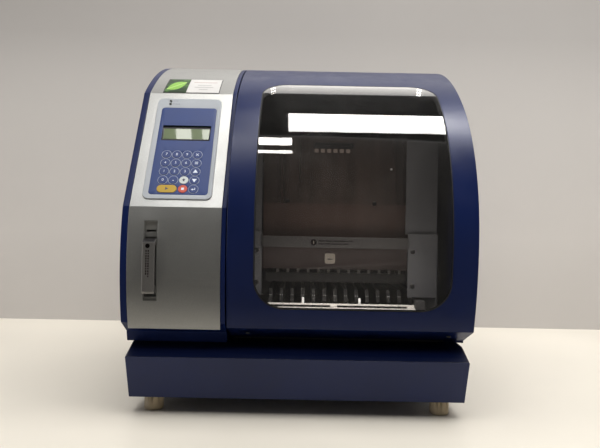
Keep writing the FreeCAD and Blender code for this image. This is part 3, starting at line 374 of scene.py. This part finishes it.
def guard_metal():
    """Bent sheet: plain in front, with painted shade where it bends upwards and painted highlights
    along its edges.
    """
    s = Shader("guard_metal")
    flake = s.noise(2600, 1)
    up = s.axis("Z", s.add("ShaderNodeNewGeometry").outputs["Normal"])
    plain = s.mix(s.spread(flake, 0.35, 0.65), (0.2, 0.195, 0.19), (0.26, 0.25, 0.245))
    # painted shade: faces that bend upwards are darkened
    turned = s.spread(up, 0.25, 0.45)
    shade = s.mix(turned, plain, (0.035, 0.033, 0.035))
    # painted highlight: the edges are brightened towards a pale grey
    bright_edge = s.maths("MULTIPLY", s.edge_mask(0.0006), 0.75)
    return s.surface(base=s.mix(bright_edge, shade, (0.8, 0.78, 0.76)), metal=0.7, rough=0.36,
                     normal=s.bump(flake, 0.12, 0.0001))


BLOCK_FROM = 0.1751  # where the rail ends and its block starts, along x


def rail_metal():
    """Bright extruded rail that ends at a dark moulded block."""
    s = Shader("front_rail_metal")
    block = s.maths("GREATER_THAN", s.axis("X"), BLOCK_FROM)
    lines = s.noise(60, 4, 0.7, s.stretched(1, 40, 40))
    shine = s.mix(s.spread(lines, 0.3, 0.7), (0.8, 0.76, 0.7), (1.0, 0.98, 0.94))
    cast = s.mix(s.noise(40, 3), (0.05, 0.048, 0.048), (0.08, 0.077, 0.075))
    return s.surface(base=s.mix(block, shine, cast), rough=s.spread(lines, 0.3, 0.7, 0.34, 0.48),
                     metal=s.spread(block, 0, 1, 0.25, 0.0), normal=s.bump(lines, 0.2, 0.0001))


BRONZE, SMOKE, RAIL_METAL, GUARD = bronze_sheet(), smoke_sheet(), rail_metal(), guard_metal()

FINISH = {
    "plinth": PLINTH_BLUE_SHADED, "column_shell": COLUMN_BLUE, "top_cover": BLUE, "right_side_panel": BLUE,
    "rear_panel": BLUE, "door_frame": DOOR_BLUE, "feet": IVORY, "column_fascia": SILVER,
    "machine_screws": STEEL, "chamber_frame": CHASSIS, "worktable_deck": DECK,
    "front_rail": RAIL_METAL, "cross_bar": DARK_PLATE, "bar_skirt": SMOKE, "side_brackets": CHASSIS,
    "keypad_bezel": BEZEL, "keypad_overlay": OVERLAY, "display_module": BLACK,
    "circuit_boards": BOARD, "card_slot_housing": SLOT_GREY, "power_supply": CASE,
    "fan_housing": BLACK, "power_inlet": BLACK, "travel_rails": ROD, "travel_motor": CASE,
    "hinge_pins": HINGE, "cartridge_rack": RACK, "door_window": WINDOW,
    "window_gasket": RUBBER, "door_hinges": HINGE, "card_guard": GUARD, "power_rocker": BLACK,
    "fan_rotor": BLACK, "head_carriage": DARK_PLATE, "head_cover": BRONZE, "syringe_block": BARRELS,
    "piston_drive": STEEL, "lift_screw": ROD, "travel_screw": ROD, "magnet_bar": STEEL,
    "key_shift": KEY_WHITE, "key_start": KEY_YELLOW, "key_stop": KEY_RED,
}
BEVEL_MM = {"column_shell": 1.2, "door_frame": 1.0, "plinth": 1.4, "right_side_panel": 0.6,
            "top_cover": 0.6, "rear_panel": 0.4, "column_fascia": 0.4, "card_guard": 0.7,
            "front_rail": 0.5, "cross_bar": 0.5, "side_brackets": 0.4, "chamber_frame": 0.4,
            "worktable_deck": 0.4, "head_cover": 0.3, "cartridge_rack": 0.3, "syringe_block": 0.4,
            "card_slot_housing": 0.3}
# the smallest angle, in degrees, that gets a rounded edge; the column has a shallow crease
EDGE_ANGLE, CREASE_ANGLE, CREASED = 28, 14, ("column_fascia", "column_shell")


def set_material(obj, mat):
    if not obj.material_slots:
        obj.data.materials.append(mat)
    for slot in obj.material_slots:
        slot.material = mat


def dress_cad(name, obj):
    """Material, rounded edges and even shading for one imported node."""
    set_material(obj, FINISH.get(name, KEY_BLUE))
    weld = obj.modifiers.new("weld", "WELD")
    weld.merge_threshold = 2e-6
    width = BEVEL_MM.get(name)
    if width:
        bevel = obj.modifiers.new("soft_edges", "BEVEL")
        bevel.width = width / 1000
        bevel.segments = 2
        bevel.limit_method = "ANGLE"
        bevel.angle_limit = math.radians(CREASE_ANGLE if name in CREASED else EDGE_ANGLE)
    obj.data.polygons.foreach_set("use_smooth", [True] * len(obj.data.polygons))
    obj.data.set_sharp_from_angle(angle=math.radians(32))
    even = obj.modifiers.new("even_shading", "WEIGHTED_NORMAL")
    even.keep_sharp = True


for node_name, node_obj in NODES.items():
    dress_cad(node_name, node_obj)

# ------------------------------------------------------------------ mesh helpers


def link(name, data):
    obj = bpy.data.objects.new(name, data)
    bpy.context.scene.collection.objects.link(obj)
    return obj


def add_mesh(name, vertices, faces, mat, body, smooth=False):
    """A piece that rides on a body, with its faces turned outwards."""
    mesh = bpy.data.meshes.new(name)
    mesh.from_pydata([tuple(v) for v in vertices], [], faces)
    mesh.validate()
    work = bmesh.new()
    work.from_mesh(mesh)
    bmesh.ops.recalc_face_normals(work, faces=work.faces)
    work.to_mesh(mesh)
    work.free()
    obj = link(name, mesh)
    mesh.materials.append(mat)
    if smooth:
        mesh.polygons.foreach_set("use_smooth", [True] * len(mesh.polygons))
        mesh.set_sharp_from_angle(angle=math.radians(35))
    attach(obj, body)
    return obj


def lathe(name, place, profile, mat, body, steps=32):
    """Turned solid: profile of (radius, height) along the place matrix's z axis."""
    vertices, faces = [], []
    for radius, height in profile:
        for i in range(steps):
            a = 2 * math.pi * i / steps
            vertices.append(place @ Vector((radius * math.cos(a), radius * math.sin(a), height)))
    for ring in range(len(profile) - 1):
        for i in range(steps):
            j = (i + 1) % steps
            faces.append((ring * steps + i, ring * steps + j,
                          (ring + 1) * steps + j, (ring + 1) * steps + i))
    faces.append(tuple(range(steps))[::-1])
    faces.append(tuple(range((len(profile) - 1) * steps, len(profile) * steps)))
    add_mesh(name, vertices, faces, mat, body, smooth=True)


def plate_outline(points, place, thick, name, mat, body, bevel=0.0):
    """Flat plate: outline points in the place matrix's xy plane, raised by thick."""
    count = len(points)
    vertices = [place @ Vector((x, y, z)) for z in (0, thick) for x, y in points]
    faces = [tuple(range(count))[::-1], tuple(range(count, 2 * count))]
    faces += [(i, (i + 1) % count, count + (i + 1) % count, count + i) for i in range(count)]
    obj = add_mesh(name, vertices, faces, mat, body)
    if bevel:
        round_edge = obj.modifiers.new("round", "BEVEL")
        round_edge.width = bevel
        round_edge.segments = 2
        round_edge.limit_method = "ANGLE"


def rounded(width, height, radius):
    """Outline of a rectangle with round corners."""
    points, steps = [], 6
    for cx, cy, start in ((1, 1, 0), (-1, 1, 90), (-1, -1, 180), (1, -1, 270)):
        for k in range(steps + 1):
            a = math.radians(start + 90 * k / steps)
            points.append((cx * (width / 2 - radius) + radius * math.cos(a),
                           cy * (height / 2 - radius) + radius * math.sin(a)))
    return points


def ring(name, place, outer, inner, thick, mat, body):
    """Raised closed band between two circles."""
    count = 40
    turn = [(math.cos(2 * math.pi * i / count), math.sin(2 * math.pi * i / count))
            for i in range(count)]
    vertices = [place @ Vector((radius * x, radius * y, z)) for z in (0, thick)
                for radius in (outer, inner) for x, y in turn]
    faces = []
    for i in range(count):
        j = (i + 1) % count
        low_out, low_in, top_out, top_in = 0, count, 2 * count, 3 * count
        faces += [(top_out + i, top_out + j, top_in + j, top_in + i),
                  (low_out + j, low_out + i, low_in + i, low_in + j),
                  (low_out + i, low_out + j, top_out + j, top_out + i),
                  (low_in + j, low_in + i, top_in + i, top_in + j)]
    add_mesh(name, vertices, faces, mat, body)


INK_THICK = 0.00006


def digit_piece(name, digit, size, place, mat, body):
    """A raised digit, turned into a plain mesh."""
    curve = bpy.data.curves.new(name + "_curve", "FONT")
    curve.body = digit
    curve.size = size
    curve.extrude = INK_THICK
    curve.align_x = "CENTER"
    curve.align_y = "CENTER"
    holder = link(name + "_holder", curve)
    bpy.context.view_layer.update()
    source = holder.evaluated_get(bpy.context.evaluated_depsgraph_get())
    mesh = bpy.data.meshes.new_from_object(source)
    bpy.data.objects.remove(holder)
    mesh.transform(place)
    mesh.materials.clear()
    mesh.materials.append(mat)
    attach(link(name, mesh), body)


# ------------------------------------------------------------------ control panel

PANEL_OUT = -Vector(JOINTS["touch_key_5"]["axis"]).normalized()
PANEL_UP = Vector((0, PANEL_OUT.z, -PANEL_OUT.y))
RIGHT = Vector((1, 0, 0))


def panel_place(point):
    """Matrix with x to the right, y up the panel and z out of it."""
    turn = Matrix((RIGHT, PANEL_UP, PANEL_OUT)).transposed().to_4x4()
    return Matrix.Translation(point) @ turn


def face_centre(node):
    """Centre of the outermost face of a node on the panel."""
    points = [v.co.copy() for v in NODES[node].data.vertices]
    high = max(p.dot(PANEL_OUT) for p in points)
    top = [p for p in points if p.dot(PANEL_OUT) > high - 5e-5]
    across = [p.x for p in top]
    upward = [p.dot(PANEL_UP) for p in top]
    return (RIGHT * (min(across) + max(across)) / 2
            + PANEL_UP * (min(upward) + max(upward)) / 2 + PANEL_OUT * high)


PRINT = plastic("pale_print", (0.62, 0.68, 0.8), 0.4)
DARK_PRINT = plastic("dark_print", (0.03, 0.03, 0.05), 0.4)
SYMBOLS = {  # outlines in millimetres from the middle of the key
    "key_up": [[(-3.6, -2.2), (3.6, -2.2), (0, 3.8)]],
    "key_down": [[(-3.6, 2.2), (0, -3.8), (3.6, 2.2)]],
    "key_escape": [[(-2.2, -1.7), (-1.7, -2.2), (2.2, 1.7), (1.7, 2.2)],
                   [(-2.2, 1.7), (1.7, -2.2), (2.2, -1.7), (-1.7, 2.2)]],
    "key_mode": [[(-2.3, y - 0.35), (2.3, y - 0.35), (2.3, y + 0.35), (-2.3, y + 0.35)]
                 for y in (-1.6, 0, 1.6)],
    "key_point": [[(-0.7, -1.7), (0.7, -1.7), (0.7, -0.3), (-0.7, -0.3)]],
    "key_shift": [[(-1.1, -2.2), (1.1, -2.2), (1.1, 0.1), (2.5, 0.1), (0, 2.7), (-2.5, 0.1),
                   (-1.1, 0.1)]],
    "key_enter": [[(-3.0, -0.9), (-0.6, -2.7), (-0.6, -1.4), (2.6, -1.4), (2.6, 2.0), (1.7, 2.0),
                   (1.7, -0.4), (-0.6, -0.4), (-0.6, 0.9)]],
    "key_start": [[(-2.0, -2.4), (2.4, 0), (-2.0, 2.4)]],
    "key_stop": [[(-1.9, -1.9), (1.9, -1.9), (1.9, 1.9), (-1.9, 1.9)]],
}
DIGIT_SIZE, KEY_PROUD, RING_OUT, RING_IN = 0.0060, 0.0007, 0.00732, 0.00672
RING_INK = plastic("ring_ink", (0.36, 0.4, 0.5), 0.5, gloss=0.2)
for node_name in sorted(n for n in NODES if n.startswith("key_")):
    body_name = "cap_" + node_name[4:]
    centre = face_centre(node_name)
    face = panel_place(centre)
    ink = DARK_PRINT if node_name in ("key_shift", "key_start") else PRINT
    mark = node_name[4:]
    if mark.isdigit():
        digit_piece("digit_" + mark, mark, DIGIT_SIZE, face, ink, body_name)
    for index, outline in enumerate(SYMBOLS.get(node_name, [])):
        flat = [(x / 1000, y / 1000) for x, y in outline]
        plate_outline(flat, face, 0.00007, f"symbol_{mark}_{index}", ink, body_name)
    if node_name not in ("key_start", "key_stop", "key_shift"):
        on_sheet = panel_place(centre - PANEL_OUT * (KEY_PROUD - 0.00004))
        ring("ring_" + mark, on_sheet, RING_OUT, RING_IN, INK_THICK, RING_INK, "chassis")


def lcd_material():
    """Grey-green display with a faint grid of character cells behind clear glass."""
    s = Shader("lcd_glass")
    node = s.add("ShaderNodeTexBrick")
    node.offset = 0.0
    s.feed(node.inputs["Vector"], s.stretched(1, 0, 1.16))
    s.feed(node.inputs["Scale"], 1.0)
    for key, item in (("Brick Width", 0.0036), ("Row Height", 0.0078), ("Mortar Size", 0.00045)):
        s.feed(node.inputs[key], item)
    glow = s.mix(node.outputs["Fac"], (0.07, 0.092, 0.042), (0.105, 0.135, 0.07))
    return s.surface(base=glow, rough=0.25, glow=glow, glow_power=0.22, coat=0.5, coat_rough=0.03,
                     specular=0.08)


GLASS_WIDE, GLASS_TALL, GLASS_SUNK, GLASS_THICK = 0.0688, 0.0198, 0.00095, 0.0006
display_low, display_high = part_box("display_module")
display_points = [v.co for v in NODES["display_module"].data.vertices]
level = max(p.dot(PANEL_OUT) for p in display_points)
upward = [p.dot(PANEL_UP) for p in display_points]
glass_spot = (RIGHT * (display_low[0] + display_high[0]) / 2
              + PANEL_UP * (min(upward) + max(upward)) / 2 + PANEL_OUT * (level - GLASS_SUNK))
plate_outline(rounded(GLASS_WIDE, GLASS_TALL, 0.0008), panel_place(glass_spot), GLASS_THICK,
              "display_glass", lcd_material(), "chassis")

# two small lamps at the head of the keypad, each with a row of plain marks
LENS = plastic("lamp_lens", (0.012, 0.02, 0.012), 0.12, coat=0.8)
GREY_INK = plastic("grey_ink", (0.2, 0.22, 0.27), 0.45)
GLYPH, GLYPH_STEP, LAMP_X, LAMP_ROWS = 0.0011, 0.0016, -0.205, (0.0175, 0.0235)
CREASE_Y = -0.1416  # where the panel meets the top arc
crease_level = Vector((0, CREASE_Y, PANEL_TO)).dot(PANEL_UP)
bezel_level = face_centre("keypad_bezel").dot(PANEL_OUT) + 0.0001
for index, down in enumerate(LAMP_ROWS):
    spot = RIGHT * LAMP_X + PANEL_UP * (crease_level - down) + PANEL_OUT * bezel_level
    lathe(f"lamp_lens_{index}", panel_place(spot),
          [(0.0021, 0), (0.0021, 0.0004), (0.0017, 0.0009), (0.0009, 0.0012)], LENS, "chassis")
    for letter in range(5 + 2 * index):
        mark_spot = spot + RIGHT * (0.0042 + GLYPH_STEP * letter)
        plate_outline(rounded(GLYPH, GLYPH * (1.2 if letter % 3 else 1.6), 0.0002),
                      panel_place(mark_spot), INK_THICK, f"lamp_tick_{index}_{letter}", GREY_INK,
                      "chassis")

# ------------------------------------------------------------------ sticker above the panel


def curved_patch(name, x0, x1, a0, a1, lift, mat):
    """Sheet laid on the top arc between two angles, in degrees."""
    columns, rows = 24, 16
    vertices, faces = [], []
    for row in range(rows + 1):
        a = math.radians(a0 + (a1 - a0) * row / rows)
        for column in range(columns + 1):
            x = x0 + (x1 - x0) * column / columns
            vertices.append((x, CROWN[0] + (CROWN_R + lift) * math.cos(a),
                             CROWN[1] + (CROWN_R + lift) * math.sin(a)))
    for row in range(rows):
        for column in range(columns):
            i = row * (columns + 1) + column
            faces.append((i, i + 1, i + columns + 2, i + columns + 1))
    obj = add_mesh(name, vertices, faces, mat, "chassis", smooth=True)
    solid = obj.modifiers.new("thickness", "SOLIDIFY")
    solid.thickness = 0.00012
    solid.offset = 0


LEAF_SHIFT, LEAF_TURN, LEAF_HALF, LEAF_WIDE = (-0.2035, 0, 0.4965), -0.55, 0.0165, 0.0085


def leaf_material():
    """Generic leaf: a pointed bright blade with ribs over dark blotched green."""
    s = Shader("leaf_picture")
    tilt = s.add("ShaderNodeMapping", vector_type="TEXTURE")
    s.feed(tilt.inputs["Vector"], s.coord)
    tilt.inputs["Location"].default_value = LEAF_SHIFT
    tilt.inputs["Rotation"].default_value = (0, LEAF_TURN, 0)
    along = s.axis("X", tilt.outputs[0])
    across = s.maths("ABSOLUTE", s.axis("Z", tilt.outputs[0]))
    reach = s.maths("POWER", s.maths("MULTIPLY", along, 1 / LEAF_HALF), 2.0)
    half = s.maths("SUBTRACT", 1.0, reach)
    inside = s.spread(s.maths("SUBTRACT", s.maths("MULTIPLY", half, LEAF_WIDE), across),
                      -0.0004, 0.0004)
    ribs = s.add("ShaderNodeTexWave", wave_type="BANDS", bands_direction="DIAGONAL")
    s.feed(ribs.inputs["Vector"], s.coord)
    s.feed(ribs.inputs["Scale"], 120)
    s.feed(ribs.inputs["Distortion"], 2.0)
    spine = s.spread(across, 0.0003, 0.0008)
    blade = s.mix(s.spread(ribs.outputs["Fac"], 0.1, 0.5), (0.3, 0.5, 0.1), (0.15, 0.36, 0.04))
    lit = s.mix(spine, (0.42, 0.6, 0.2), blade)
    ground = s.mix(s.spread(s.noise(75, 3, 0.5), 0.45, 0.62), (0.01, 0.03, 0.01),
                   (0.05, 0.13, 0.025))
    return s.surface(base=s.mix(inside, ground, lit), rough=0.4, specular=0.2)


PAPER = plastic("sticker_white", (0.56, 0.55, 0.54), 0.4, grain=2500, bump=0.05, gloss=0.2)
EDGE_INK = plastic("sticker_border", (0.02, 0.02, 0.022), 0.35)
INNER_FROM, INNER_TO = 119.85, 127.1
curved_patch("sticker_border", -0.2212, -0.1318, 119.7, 127.3, 0.00012, EDGE_INK)
curved_patch("sticker_picture", -0.2200, -0.1850, INNER_FROM, INNER_TO, 0.00026, leaf_material())
curved_patch("sticker_label", -0.1848, -0.1330, INNER_FROM, INNER_TO, 0.00026, PAPER)
for index, (angle, start, end) in enumerate(((121.6, -0.178, -0.140), (123.2, -0.170, -0.148),
                                             (124.3, -0.174, -0.144), (125.4, -0.166, -0.152))):
    curved_patch(f"sticker_rule_{index}", start, end, angle, angle + 0.22, 0.00034,
                 plastic(f"rule_ink_{index}", (0.34, 0.22, 0.2) if index == 0 else (0.3, 0.3, 0.3),
                         0.4))

# ------------------------------------------------------------------ chamber details


def facing_front(x, y, z):
    """Matrix with x to the right, y upwards and z towards the viewer (-Y)."""
    turn = Matrix(((1, 0, 0), (0, 0, -1), (0, 1, 0))).to_4x4()
    return Matrix.Translation((x, y, z)) @ turn


def screw_head(name, place, radius, mat, body):
    """Domed head with a round drive hole."""
    deep = radius * 0.5
    lathe(name, place, [(radius, 0), (radius, deep), (radius * 0.9, deep * 1.25),
                        (radius * 0.55, deep * 1.35), (radius * 0.5, deep * 0.6),
                        (radius * 0.05, deep * 0.5)], mat, body, steps=20)


def clip(name, x, y, z, wide, tall, deep, mat, body):
    """Small upright plate with round corners, facing the front."""
    outline = rounded(wide, tall, min(wide, tall) * 0.2)
    plate_outline(outline, facing_front(x, y, z), deep, name, mat, body, bevel=0.0004)


rail_low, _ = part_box("front_rail")
TAB = plastic("white_tab", (0.85, 0.85, 0.83), 0.35)
for index, x in enumerate((0.0066, 0.0919)):
    clip(f"rail_tab_{index}", x, rail_low[1] + 0.0119, 0.1607, 0.0034, 0.0102, 0.0012, TAB,
         "chassis")

bar_low, bar_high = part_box("cross_bar")
LABEL = plastic("plain_label", (0.2, 0.175, 0.14), 0.35)
LABEL_INK = plastic("label_ink", (0.006, 0.004, 0.004), 0.5, gloss=0.1)
bar_mid = (bar_low[2] + bar_high[2]) / 2
bar_face = bar_low[1] - 0.0001
lathe("bar_disc", facing_front(0.0222, bar_face, bar_mid),
      [(0.0049, 0), (0.0049, 0.0002)], LABEL_INK, "chassis", steps=28)
clip("bar_disc_mark", 0.0222, bar_face - 0.0002, bar_mid, 0.0014, 0.0052, 0.0001, LABEL, "chassis")
for line, length in enumerate((0.056, 0.049)):
    for word in range(5):
        start = 0.0305 + length / 5 * word  # left end of this word's share of the line
        clip(f"bar_tick_{line}_{word}", start + length / 12, bar_face,
             bar_mid + 0.0024 - 0.0046 * line, length / 5 - 0.0018, 0.0018, 0.00012, LABEL_INK,
             "chassis")

skirt_low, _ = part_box("bar_skirt")
clip("skirt_label", 0.049, skirt_low[1] - 0.0001, 0.2215, 0.0165, 0.0165, 0.0003, LABEL, "chassis")
clip("skirt_label_mark", 0.049, skirt_low[1] - 0.0004, 0.2205, 0.0075, 0.0018, 0.0001, LABEL_INK,
     "chassis")

cover_low, cover_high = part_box("head_cover")
COVER_LEAN = 0.002 / (cover_high[2] - 0.003 - COVER_FOLD)


def on_cover(z):
    return cover_low[1] - 0.00015 + max(0, z - COVER_FOLD) * COVER_LEAN


DARK_SCREW = brushed("blackened_screw", (0.09, 0.085, 0.08), 0.3)
for index, (x, z) in enumerate(((-0.021, 0.3140), (0.122, 0.3117))):
    screw_head(f"cover_screw_{index}", facing_front(x, on_cover(z), z), 0.0034, DARK_SCREW,
               "carriage")
screw_head("cover_rivet", facing_front(0.149, on_cover(0.369), 0.369), 0.0016, BRIGHT, "carriage")

# the slot in the cover that shows the ends of six lugs; its shaded opening is a flat dark plate,
# painted shade
SLOT_SHADE = plastic("cover_slot_shade", (0.012, 0.01, 0.01), 0.2)
LUG = plastic("cover_lug", (0.3, 0.24, 0.2), 0.4)
SLOT_MID, SLOT_Z, LUG_Z = 0.0535, 0.4060, 0.3975
plate_outline(rounded(0.067, 0.0105, 0.005), facing_front(SLOT_MID, on_cover(SLOT_Z), SLOT_Z),
              0.00012, "cover_slot", SLOT_SHADE, "carriage")
for index in range(6):
    clip(f"cover_lug_{index}", SLOT_MID - 0.0285 + 0.0104 * index, on_cover(LUG_Z), LUG_Z,
         0.0066, 0.0062, 0.0006, LUG, "carriage")

# two small studs on the slanted front of each rack fin
rack_low, rack_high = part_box("cartridge_rack")
FINS, FIN_HALF, FIN_FOOT = 14, 0.003, 0.148
SLANT_RUN, SLANT_RISE, STUD_RISE, STUD_APART = 0.0145, 0.019, 0.0085, 0.0016
slant = math.atan2(SLANT_RUN, SLANT_RISE)
for index in range(FINS):
    x = rack_low[0] + FIN_HALF + (rack_high[0] - rack_low[0] - 2 * FIN_HALF) * index / (FINS - 1)
    for side in (-1, 1):
        spot = facing_front(x + side * STUD_APART,
                            rack_low[1] + STUD_RISE * SLANT_RUN / SLANT_RISE, FIN_FOOT + STUD_RISE)
        lathe(f"rack_stud_{index}_{side + 1}", spot @ Matrix.Rotation(-slant, 4, "X"),
              [(0.0007, -0.0004), (0.0007, 0.0004), (0.0004, 0.0007)], BRIGHT, "rack", steps=12)

# plain printed disc and two columns of ticks on the card guard
guard_low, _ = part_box("card_guard")
GUARD_INK = plastic("guard_print", (0.004, 0.003, 0.003), 0.5, gloss=0.05)
GUARD_BROWN = plastic("guard_brown", (0.012, 0.006, 0.005), 0.5, gloss=0.05)
guard_face = guard_low[1] - 0.00005
lathe("guard_disc", facing_front(guard_low[0] + 0.0076, guard_face, 0.2420),
      [(0.0032, 0), (0.0032, 0.00012)], GUARD_INK, "guard", steps=24)
for column, (offset, count) in enumerate(((0.0088, 11), (0.0058, 10))):
    for index in range(count):
        clip(f"guard_tick_{column}_{index}", guard_low[0] + offset, guard_face,
             0.2350 - 0.0035 * index, 0.0016, 0.0027 - 0.0007 * (index % 3 == 1), 0.0001,
             GUARD_BROWN, "guard")

# heads of the two screws in the door hem
HEM_Y, HEM_Z, HEM_RUN, HEM_DROP = -0.2275, 0.1183, 0.0527, 0.0214
hem_turn = Matrix.Rotation(math.pi - math.atan2(HEM_DROP, HEM_RUN), 4, "X")
for index, x in enumerate((-0.072, 0.217)):
    screw_head(f"hem_screw_{index}", Matrix.Translation((x, HEM_Y, HEM_Z)) @ hem_turn, 0.0032,
               DARK_SCREW, "door")

# ------------------------------------------------------------------ stage, light and camera


def backdrop(name, corners, mat):
    """One flat sheet of the room around the object."""
    mesh = bpy.data.meshes.new(name)
    mesh.from_pydata(corners, [], [(0, 1, 2, 3)])
    mesh.materials.append(mat)
    obj = link(name, mesh)
    return obj


WALL_Y, WALL_TOP, TABLE_EDGE, HALF_ROOM = 0.58, 1.75, -0.42, 3
TABLE_BACK, TABLE_FRONT = 2.6, -2.6
table_mat = Shader("table_top")
wall_mat = Shader("wall_paint")
# the wall's colour is darker towards its top, a painted shade for light falling off upwards; the
# table's factor of 1.0 leaves it even
for shader, base, rough, top_shade in ((table_mat, (0.74, 0.7, 0.62), 0.36, 1.0),
                                  (wall_mat, (0.52, 0.496, 0.478), 0.8, 0.58)):
    cloud = shader.noise(3.5, 5, 0.6)
    low = shader.mix(cloud, tuple(c * 0.94 for c in base), tuple(min(1, c * 1.05) for c in base))
    shade_height = shader.spread(shader.axis("Z"), 0.25, 0.8)
    shader.surface(base=shader.mix(shade_height, low, tuple(c * top_shade for c in base)),
                   rough=shader.spread(cloud, 0.3, 0.7, rough - 0.05, rough + 0.06),
                   normal=shader.bump(shader.noise(900, 2), 0.08, 0.0001))
backdrop("table", [(-HALF_ROOM, TABLE_EDGE, 0), (HALF_ROOM, TABLE_EDGE, 0),
                   (HALF_ROOM, TABLE_BACK, 0), (-HALF_ROOM, TABLE_BACK, 0)], table_mat.mat)
near_table = backdrop("table_front", [(-HALF_ROOM, TABLE_FRONT, 0), (HALF_ROOM, TABLE_FRONT, 0),
                                      (HALF_ROOM, TABLE_EDGE, 0), (-HALF_ROOM, TABLE_EDGE, 0)],
                      table_mat.mat)
near_table.visible_glossy = False
# the wall is one-sided, so a camera behind it sees the back of the object
see_through = wall_mat.add("ShaderNodeBsdfTransparent")
sides = wall_mat.add("ShaderNodeMixShader")
wall_mat.feed(sides.inputs[0], wall_mat.add("ShaderNodeNewGeometry").outputs["Backfacing"])
wall_mat.feed(sides.inputs[1], wall_mat.out.inputs["Surface"].links[0].from_socket)
wall_mat.feed(sides.inputs[2], see_through.outputs[0])
wall_mat.feed(wall_mat.out.inputs["Surface"], sides.outputs[0])
backdrop("wall", [(-HALF_ROOM, WALL_Y, 0), (HALF_ROOM, WALL_Y, 0),
                  (HALF_ROOM, WALL_Y, WALL_TOP), (-HALF_ROOM, WALL_Y, WALL_TOP)], wall_mat.mat)


def lamp(name, centre, size, power, role="soft", aim=(0, 0, -1), tint=(1, 0.98, 0.95)):
    """Area light. "soft" lights the room unseen, "mirror" only shows up in reflections."""
    data = bpy.data.lights.new(name, "AREA")
    data.shape = "RECTANGLE"
    data.size, data.size_y = size
    data.energy = power
    data.color = tint
    obj = link(name, data)
    obj.location = centre
    obj.rotation_euler = Vector(aim).to_track_quat("-Z", "Y").to_euler()
    obj.visible_camera = False
    obj.visible_glossy = role != "soft"
    obj.visible_diffuse = role != "mirror"


CEILING = 1.8
lamp("strip_main", (0.75, -0.2125, CEILING), (1.6, 0.485), 54, "mirror")
lamp("strip_second", (-0.214, -0.700, CEILING), (0.352, 0.17), 3.6, "mirror")
lamp("strip_second_end", (-0.463, -0.700, CEILING), (0.06, 0.17), 0.7, "mirror")
lamp("strip_third", (-0.264, -0.980, CEILING), (0.452, 0.065), 1.9, "mirror")
lamp("upper_wall_glow", (0, WALL_Y - 0.01, 1.38), (4.0, 0.75), 8, "mirror", aim=(0, -1, 0))
lamp("left_room", (-2.3, -0.7, 0.6), (2.0, 1.2), 20, "mirror", aim=(1, 0, 0))
# one long ceiling light in three lengths, whose gaps show in the display glass
GLOW_PER_METRE = 8.4
for index, (left, right) in enumerate(((-0.99, -0.64), (-0.605, -0.563), (-0.514, -0.33))):
    lamp(f"panel_glow_{index}", ((left + right) / 2, -1.1, CEILING), (right - left, 0.6),
         GLOW_PER_METRE * (right - left), "mirror", tint=(0.98, 0.99, 1))
lamp("ceiling_main", (0.4, -0.5, 2.2), (2.6, 1.3), 60)
lamp("ceiling_front", (-0.3, -1.2, 2.3), (2.4, 1.0), 18)
lamp("front_fill", (0.2, -3.2, 1.2), (2.6, 1.6), 3, aim=(0, 1, -0.25))
lamp("wall_wash", (0, 0.22, 0.72), (3.6, 0.2), 4, aim=(0, 1, -0.75))
lamp("rear_fill", (0, 0.5, 1.45), (2.4, 0.1), 5, aim=(0, -0.3, -1))
lamp("side_fill", (2.6, 0.0, 1.0), (0.7, 1.2), 4, aim=(-1, -0.15, -0.35))
lamp("rail_light", (0.05, -0.222, 0.182), (0.26, 0.008), 0.03, aim=(0, 0.6, -1))
lamp("chamber_fill", (0.07, -0.225, 0.21), (0.24, 0.06), 0.16, aim=(0, 1, -0.3))

world = bpy.data.worlds.new("room")
bpy.context.scene.world = world
world.use_nodes = True
sky = world.node_tree
sky.nodes.clear()
world_out = sky.nodes.new("ShaderNodeOutputWorld")
ROOM_LIGHT, ROOM_SEEN = 0.07, 0.6  # the room is dim as a light and pale to the camera
glow = sky.nodes.new("ShaderNodeBackground")
glow.inputs["Color"].default_value = (0.75, 0.74, 0.73, 1)
seen = sky.nodes.new("ShaderNodeMapRange")
seen.inputs["To Min"].default_value = ROOM_LIGHT
seen.inputs["To Max"].default_value = ROOM_SEEN
sky.links.new(sky.nodes.new("ShaderNodeLightPath").outputs["Is Camera Ray"], seen.inputs["Value"])
sky.links.new(seen.outputs["Result"], glow.inputs["Strength"])
sky.links.new(glow.outputs[0], world_out.inputs["Surface"])

camera_data = bpy.data.cameras.new("camera")
camera_data.sensor_width = 36
camera_data.lens = 36.7
camera = link("camera", camera_data)
camera.location = (0, -1.1085, 0.276)
CAMERA_ROLL = math.radians(-1.1)
camera.rotation_euler = (math.radians(90), CAMERA_ROLL, 0)
bpy.context.scene.camera = camera
bpy.context.scene.view_settings.view_transform = "Standard"
